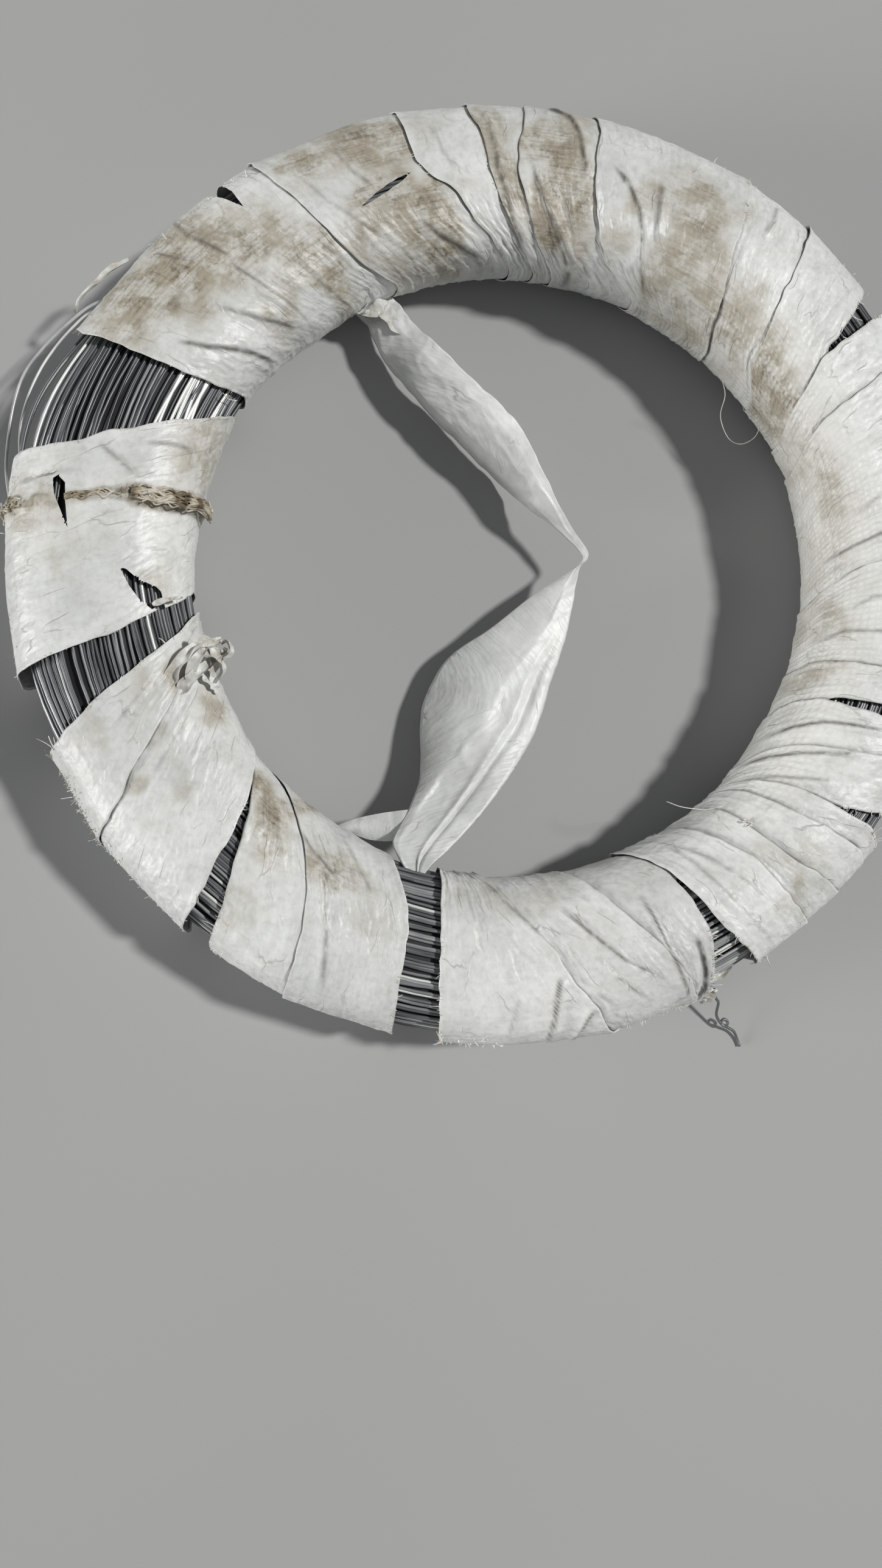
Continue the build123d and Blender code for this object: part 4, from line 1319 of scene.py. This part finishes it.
def torn_scraps(material):
    """Curled scraps of torn strip at the lower left lump, the slot and the knot of the loose end."""
    points, faces = join_parts([ribbon(*row) for row in SCRAPS])
    piece = make_piece("torn_scraps", points, faces, material, "woven_strip")
    dirt = 0.35 + 0.35 * lattice_noise(points[:, 0] / 3, points[:, 1] / 3, 72)
    add_attributes(piece, weave=points, around=points, dirt=dirt, tone=np.ones(len(points)))


def thread_piece(material, surface):
    """Frayed threads and tangles of the strip, and its few long loose threads."""
    chance = np.random.default_rng(23)
    parts = frayed_edges(chance, surface) + tangles(chance)
    parts += [tube(smooth_path(path, 24), THREAD_RADIUS, 4) for path in LONG_THREADS]
    make_piece("frayed_threads", *join_parts(parts), material, "woven_strip")


THREAD_TONES = [(0.38, (0.5, 0.46, 0.38)), (0.5, (0.72, 0.71, 0.67)), (0.62, (0.82, 0.82, 0.8))]
TWINE_TONES = [(0.36, (0.14, 0.11, 0.07)), (0.48, (0.38, 0.33, 0.25)), (0.62, (0.62, 0.58, 0.5))]


def thread_material(name, tones):
    """Dull fibre: white split tape or tan twine."""
    nodes = Nodes(name)
    place = nodes.place()
    colour = nodes.ramp(nodes.noise(place, 130.0, 4.0), *tones)
    nodes.set(Base_Color=colour, Roughness=0.6, Specular_IOR_Level=0.3)
    nodes.bump(nodes.noise(place, 900.0, 2.0), 0.3, 0.0003)
    return nodes.material


# Loose end of strip, from its knot down: left edge, right edge, where the ridge down its top lies as a
# share from left to right, how high the ridge stands, and how far the under side sags
TAIL = [
    ((-85, 160, 14), (-62, 170, 17), 0.64, 1.4, 11),
    ((-77, 147, 15), (-58, 155, 18), 0.64, 1.6, 12),
    ((-70, 140, 16), (-52, 146, 20), 0.62, 1.8, 13),
    ((-67, 132, 17), (-49, 139, 26), 0.6, 2.2, 14),
    ((-61, 120, 19), (-42, 128, 31), 0.6, 2.6, 16),
    ((-54, 110, 21), (-34, 118, 36), 0.62, 3.0, 18),
    ((-46, 100, 23), (-24, 107, 40), 0.64, 3.4, 20),
    ((-33, 86, 24), (-9, 92, 43), 0.66, 3.6, 22),
    ((-14, 67, 25), (8, 75, 42), 0.68, 3.2, 23),
    ((7, 47, 25), (22, 51, 38), 0.66, 2.4, 20),
    ((18, 35, 26), (29, 38, 34), 0.6, 1.6, 12),
    ((30, 24, 27), (38, 24, 29), 0.55, 0.8, 5),
    ((42, 12, 27.6), (46, 13, 28), 0.5, 0.3, 2),
    ((43, 7, 27), (46, 8, 27.6), 0.5, 0.3, 1),
    ((34, 0, 26), (42, 3, 28), 0.6, 0.8, 1),
    ((16, -12, 24), (38, -16, 29), 0.64, 3.6, 2),
    ((-3, -27, 22), (33, -38, 30), 0.64, 6.6, 4),
    ((-25, -42, 17), (27, -55, 30), 0.62, 9.5, 6),
    ((-36, -60, 14), (19, -80, 30), 0.58, 11.5, 6),
    ((-40, -76, 15), (12, -94, 32), 0.48, 10.5, 6),
    ((-40, -94, 19), (4, -106, 35), 0.34, 8.0, 6),
    ((-41, -108, 25), (-4, -117, 38), 0.22, 5.0, 5),
    ((-46, -121, 32), (-13, -128, 42), 0.14, 2.0, 4),
    ((-52, -132, 38), (-21, -137, 44), 0.1, 1.4, 3),
    ((-55, -140, 43), (-28, -144, 46), 0.1, 1.0, 2),
    ((-51, -149, 46), (-36, -151, 48), 0.1, 0.8, 1),
    ((-46, -157, 50), (-41, -158, 50), 0.2, 0.3, 0),
]

# Rows of mesh along the loose end, half its thickness, where the groove beside its ridge lies as a share
# of the way down, how deep it is and between which places it sets in, and how far the crumples reach
TAIL_ROWS = 260
TAIL_LAYER = 0.6
GROOVE_SHARE = 0.6
GROOVE_DEPTH = 2.8
GROOVE_START, GROOVE_END = 240, 290
CALM_START = 190

# Crumples of the loose end: heading in degrees, length and height of each wave of triangles, and its start
PAPER_WAVES = [(25, 19, 2.0, 0.3), (-38, 26, 2.3, 0.8), (70, 15, 1.2, 0.1), (-8, 41, 2.0, 0.5)]

# Short shaded end of the strip that runs back under the ring: its upper and lower edge
FLAP = [
    [(-90, -133, 20), (-82, -130, 26), (-71, -126.5, 30), (-58, -124, 33), (-46, -122.5, 34)],
    [(-84, -140, 20), (-76, -135, 26), (-66, -137.5, 30), (-57, -138.5, 34), (-47, -137, 38)],
]


def smooth_rows(values, count):
    """Rows of the loose end between its stations, evenly along its middle, and how far along each lies."""
    dense = spline(values, 16)
    return spaced_evenly(dense, run_length((dense[:, :3] + dense[:, 3:6]) / 2), count)


def tail_profile(ridge, belly, sag, crease):
    """Section of the folded end: shares from left to right, and heights, from its inner edge outwards."""
    inner = np.linspace(0.8, 0.0, 22)
    under = np.linspace(0.0, 1.0, 20)[1:]
    top = np.linspace(1.0, 0.02, 36)[1:]
    rise = np.where(top < ridge, np.sin(math.pi / 2 * np.clip(top / ridge, 0, 1)) ** 0.75,
                    (1 - top) / (1 - ridge))
    middle = ridge + (1 - ridge) * GROOVE_SHARE
    valley = 0.5 * np.exp(-((top - middle + 0.07) / 0.04) ** 2) - np.exp(-((top - middle) / 0.035) ** 2)
    top_height = 2 * TAIL_LAYER + 0.4 + belly * rise + crease * valley
    inner_height = 0.55 * belly * np.sin(math.pi * inner**0.7)
    under_height = -2 * TAIL_LAYER - sag * np.sin(math.pi * under**0.5)
    under_height[-1] = -0.2
    return np.concatenate([inner, under, top]), np.concatenate([inner_height, under_height, top_height])


def paper_folds(along, across):
    """Flat facets between straight creases, as in crumpled film."""
    height = 0 * across
    for heading, length, size, start in PAPER_WAVES:
        way = along * math.cos(math.radians(heading)) + across * math.sin(math.radians(heading))
        height += size * (np.abs(np.mod(way / length + start, 2) - 1) - 0.5)
    return height


def tail_flap():
    """The short shaded end, to the left of the gathered end."""
    upper, lower = (smooth_path(edge, 24) for edge in FLAP)
    columns = []
    for share in np.linspace(0, 1, 10):
        column = upper * (1 - share) + lower * share
        dents = lattice_noise(column[:, 0] / 5, column[:, 1] / 5, 45)
        column[:, 2] += 2.5 * math.sin(math.pi * share) + 0.8 * dents
        columns.append(column)
    return np.stack(columns, 1).reshape(-1, 3), grid_faces(len(upper), len(columns))


def tail_line(row, place):
    """Points down the folded end's section at one place along it."""
    left, right, ridge = row[:3], row[3:6], row[6]
    crease = GROOVE_DEPTH * float(smoothstep(place, GROOVE_START, GROOVE_END))
    shares, heights = tail_profile(ridge, row[7], row[8], crease)
    width = np.linalg.norm(right - left)
    pinch = min(1.0, width / 14)
    across, along = shares * width, shares * 0 + place
    rough = 1.0 if place < CALM_START else np.where(shares > ridge, 0.8, 0.15)
    crumple = np.abs(lattice_noise(across / 9 + place / 30, along / 14, 41))
    dents = 0.5 * np.maximum(0, 1 - 2.6 * crumple) + 0.2 * lattice_noise(across / 4, along / 5, 43)
    line = left + (right - left) * shares[:, None]
    line[:, 2] += pinch * (heights + rough * (paper_folds(place, across) + dents))
    line[:, :2] += 0.35 * pinch * lattice_noise(across / 5, along / 6, 42)[:, None]
    return line


def tail_piece(material):
    """Loose end of strip: folded lengthwise, pinched to a point where it turns back over the bore."""
    rows, places = smooth_rows([[*left, *right, *form] for left, right, *form in TAIL], TAIL_ROWS)
    lines = [tail_line(row, place) for row, place in zip(rows, places)]
    weave = [np.stack([run_length(line), np.full(len(line), place), np.zeros(len(line))], -1)
             for line, place in zip(lines, places)]
    flap = tail_flap()
    points, faces = join_parts([(np.concatenate(lines), grid_faces(TAIL_ROWS, len(lines[0]))), flap])
    piece = make_piece("loose_end", points, faces, material, "woven_strip")
    weave = np.concatenate(weave + [flap[0]])
    add_attributes(piece, weave=weave, around=weave[:, [1, 0, 2]], dirt=np.full(len(points), 0.1),
                   tone=np.full(len(points), 1.1))
    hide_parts("tail_strip")


# Half the floor, in metres
FLOOR_HALF = 12.0


def build_floor():
    """Plain pale floor."""
    nodes = Nodes("floor")
    mottle = nodes.noise(nodes.place(), 1.5, 2.0)
    colour = nodes.ramp(mottle, (0.3, (0.345, 0.352, 0.348)), (0.7, (0.375, 0.382, 0.378)))
    nodes.set(Base_Color=colour, Roughness=0.6, Specular_IOR_Level=0.2)
    mesh = bpy.data.meshes.new("floor")
    corners = [(-FLOOR_HALF, -FLOOR_HALF, 0), (FLOOR_HALF, -FLOOR_HALF, 0), (FLOOR_HALF, FLOOR_HALF, 0),
               (-FLOOR_HALF, FLOOR_HALF, 0)]
    mesh.from_pydata(corners, [], [(0, 1, 2, 3)])
    mesh.materials.append(nodes.material)
    floor = bpy.data.objects.new("floor", mesh)
    bpy.context.scene.collection.objects.link(floor)


# Camera: focal length in pixels of the 1449 x 2576 frame, place in millimetres and tilt in radians
FOCAL_PIXELS = 2300.0
FRAME_HEIGHT = 2576
SENSOR = 36.0
CAMERA_PLACE = (-74.366, -170.035, 733.172)
CAMERA_TILT = (0.086, -0.063, 0.0)


def build_camera():
    data = bpy.data.cameras.new("camera")
    data.sensor_width = SENSOR
    data.lens = FOCAL_PIXELS / FRAME_HEIGHT * SENSOR
    data.clip_start, data.clip_end = 0.01, 20
    camera = bpy.data.objects.new("camera", data)
    camera.location = Vector(CAMERA_PLACE) * MM
    camera.rotation_euler = Euler(CAMERA_TILT)
    bpy.context.scene.collection.objects.link(camera)
    bpy.context.scene.camera = camera


LIGHT_DIRECTION = (0.610, 0.086, 0.788)
KEY_STRENGTH = 2.75
KEY_ANGLE = 5.0
FILL_DIRECTION = (-0.96, -0.2, 0.13)
FILL_STRENGTH = 2.9
FILL_ANGLE = 24.0
SKY_STRENGTH = 0.17
SKY_LEFT = 1.5
SKY_RIGHT = 0.75


def add_sun(name, direction, strength, angle):
    data = bpy.data.lights.new(name, "SUN")
    data.energy = strength
    data.angle = math.radians(angle)
    data.color = (1.0, 0.99, 0.97)
    light = bpy.data.objects.new(name, data)
    light.rotation_euler = Vector(direction).to_track_quat("Z", "Y").to_euler()
    bpy.context.scene.collection.objects.link(light)


def build_light():
    """Light from the right, a weak broad one from the left, and a pale sky that is brighter to the left."""
    add_sun("window", LIGHT_DIRECTION, KEY_STRENGTH, KEY_ANGLE)
    add_sun("room", FILL_DIRECTION, FILL_STRENGTH, FILL_ANGLE)
    world = bpy.data.worlds.new("sky")
    world.use_nodes = True
    tree = world.node_tree
    place = tree.nodes.new("ShaderNodeTexCoord")
    split = tree.nodes.new("ShaderNodeSeparateXYZ")
    spread = tree.nodes.new("ShaderNodeMapRange")
    spread.inputs["From Min"].default_value, spread.inputs["From Max"].default_value = -1.0, 1.0
    spread.inputs["To Min"].default_value = SKY_STRENGTH * SKY_LEFT
    spread.inputs["To Max"].default_value = SKY_STRENGTH * SKY_RIGHT
    background = tree.nodes["Background"]
    background.inputs[0].default_value = (0.95, 0.975, 1.0, 1.0)
    tree.links.new(place.outputs["Generated"], split.inputs[0])
    tree.links.new(split.outputs[0], spread.inputs["Value"])
    tree.links.new(spread.outputs[0], background.inputs[1])
    bpy.context.scene.world = world
    bpy.context.scene.view_settings.view_transform = "Standard"


strip_look = woven_material("woven_strip", 1.0)
loose_look = woven_material("loose_strip", 0.35)
wire_look = wire_material()
wraps = [wrap_piece(wrap, strip_look) for wrap in dict.fromkeys(row[0] for row in STRIP_TURNS)]
wire_turns(wire_look)
wire_core(core_material())
loose_wires(wire_look)
tail_piece(loose_look)
surface = Surface(wraps)
thread_piece(thread_material("thread", THREAD_TONES), surface)
seam_twine(thread_material("twine", TWINE_TONES), surface)
torn_scraps(strip_look)
build_floor()
build_camera()
build_light()
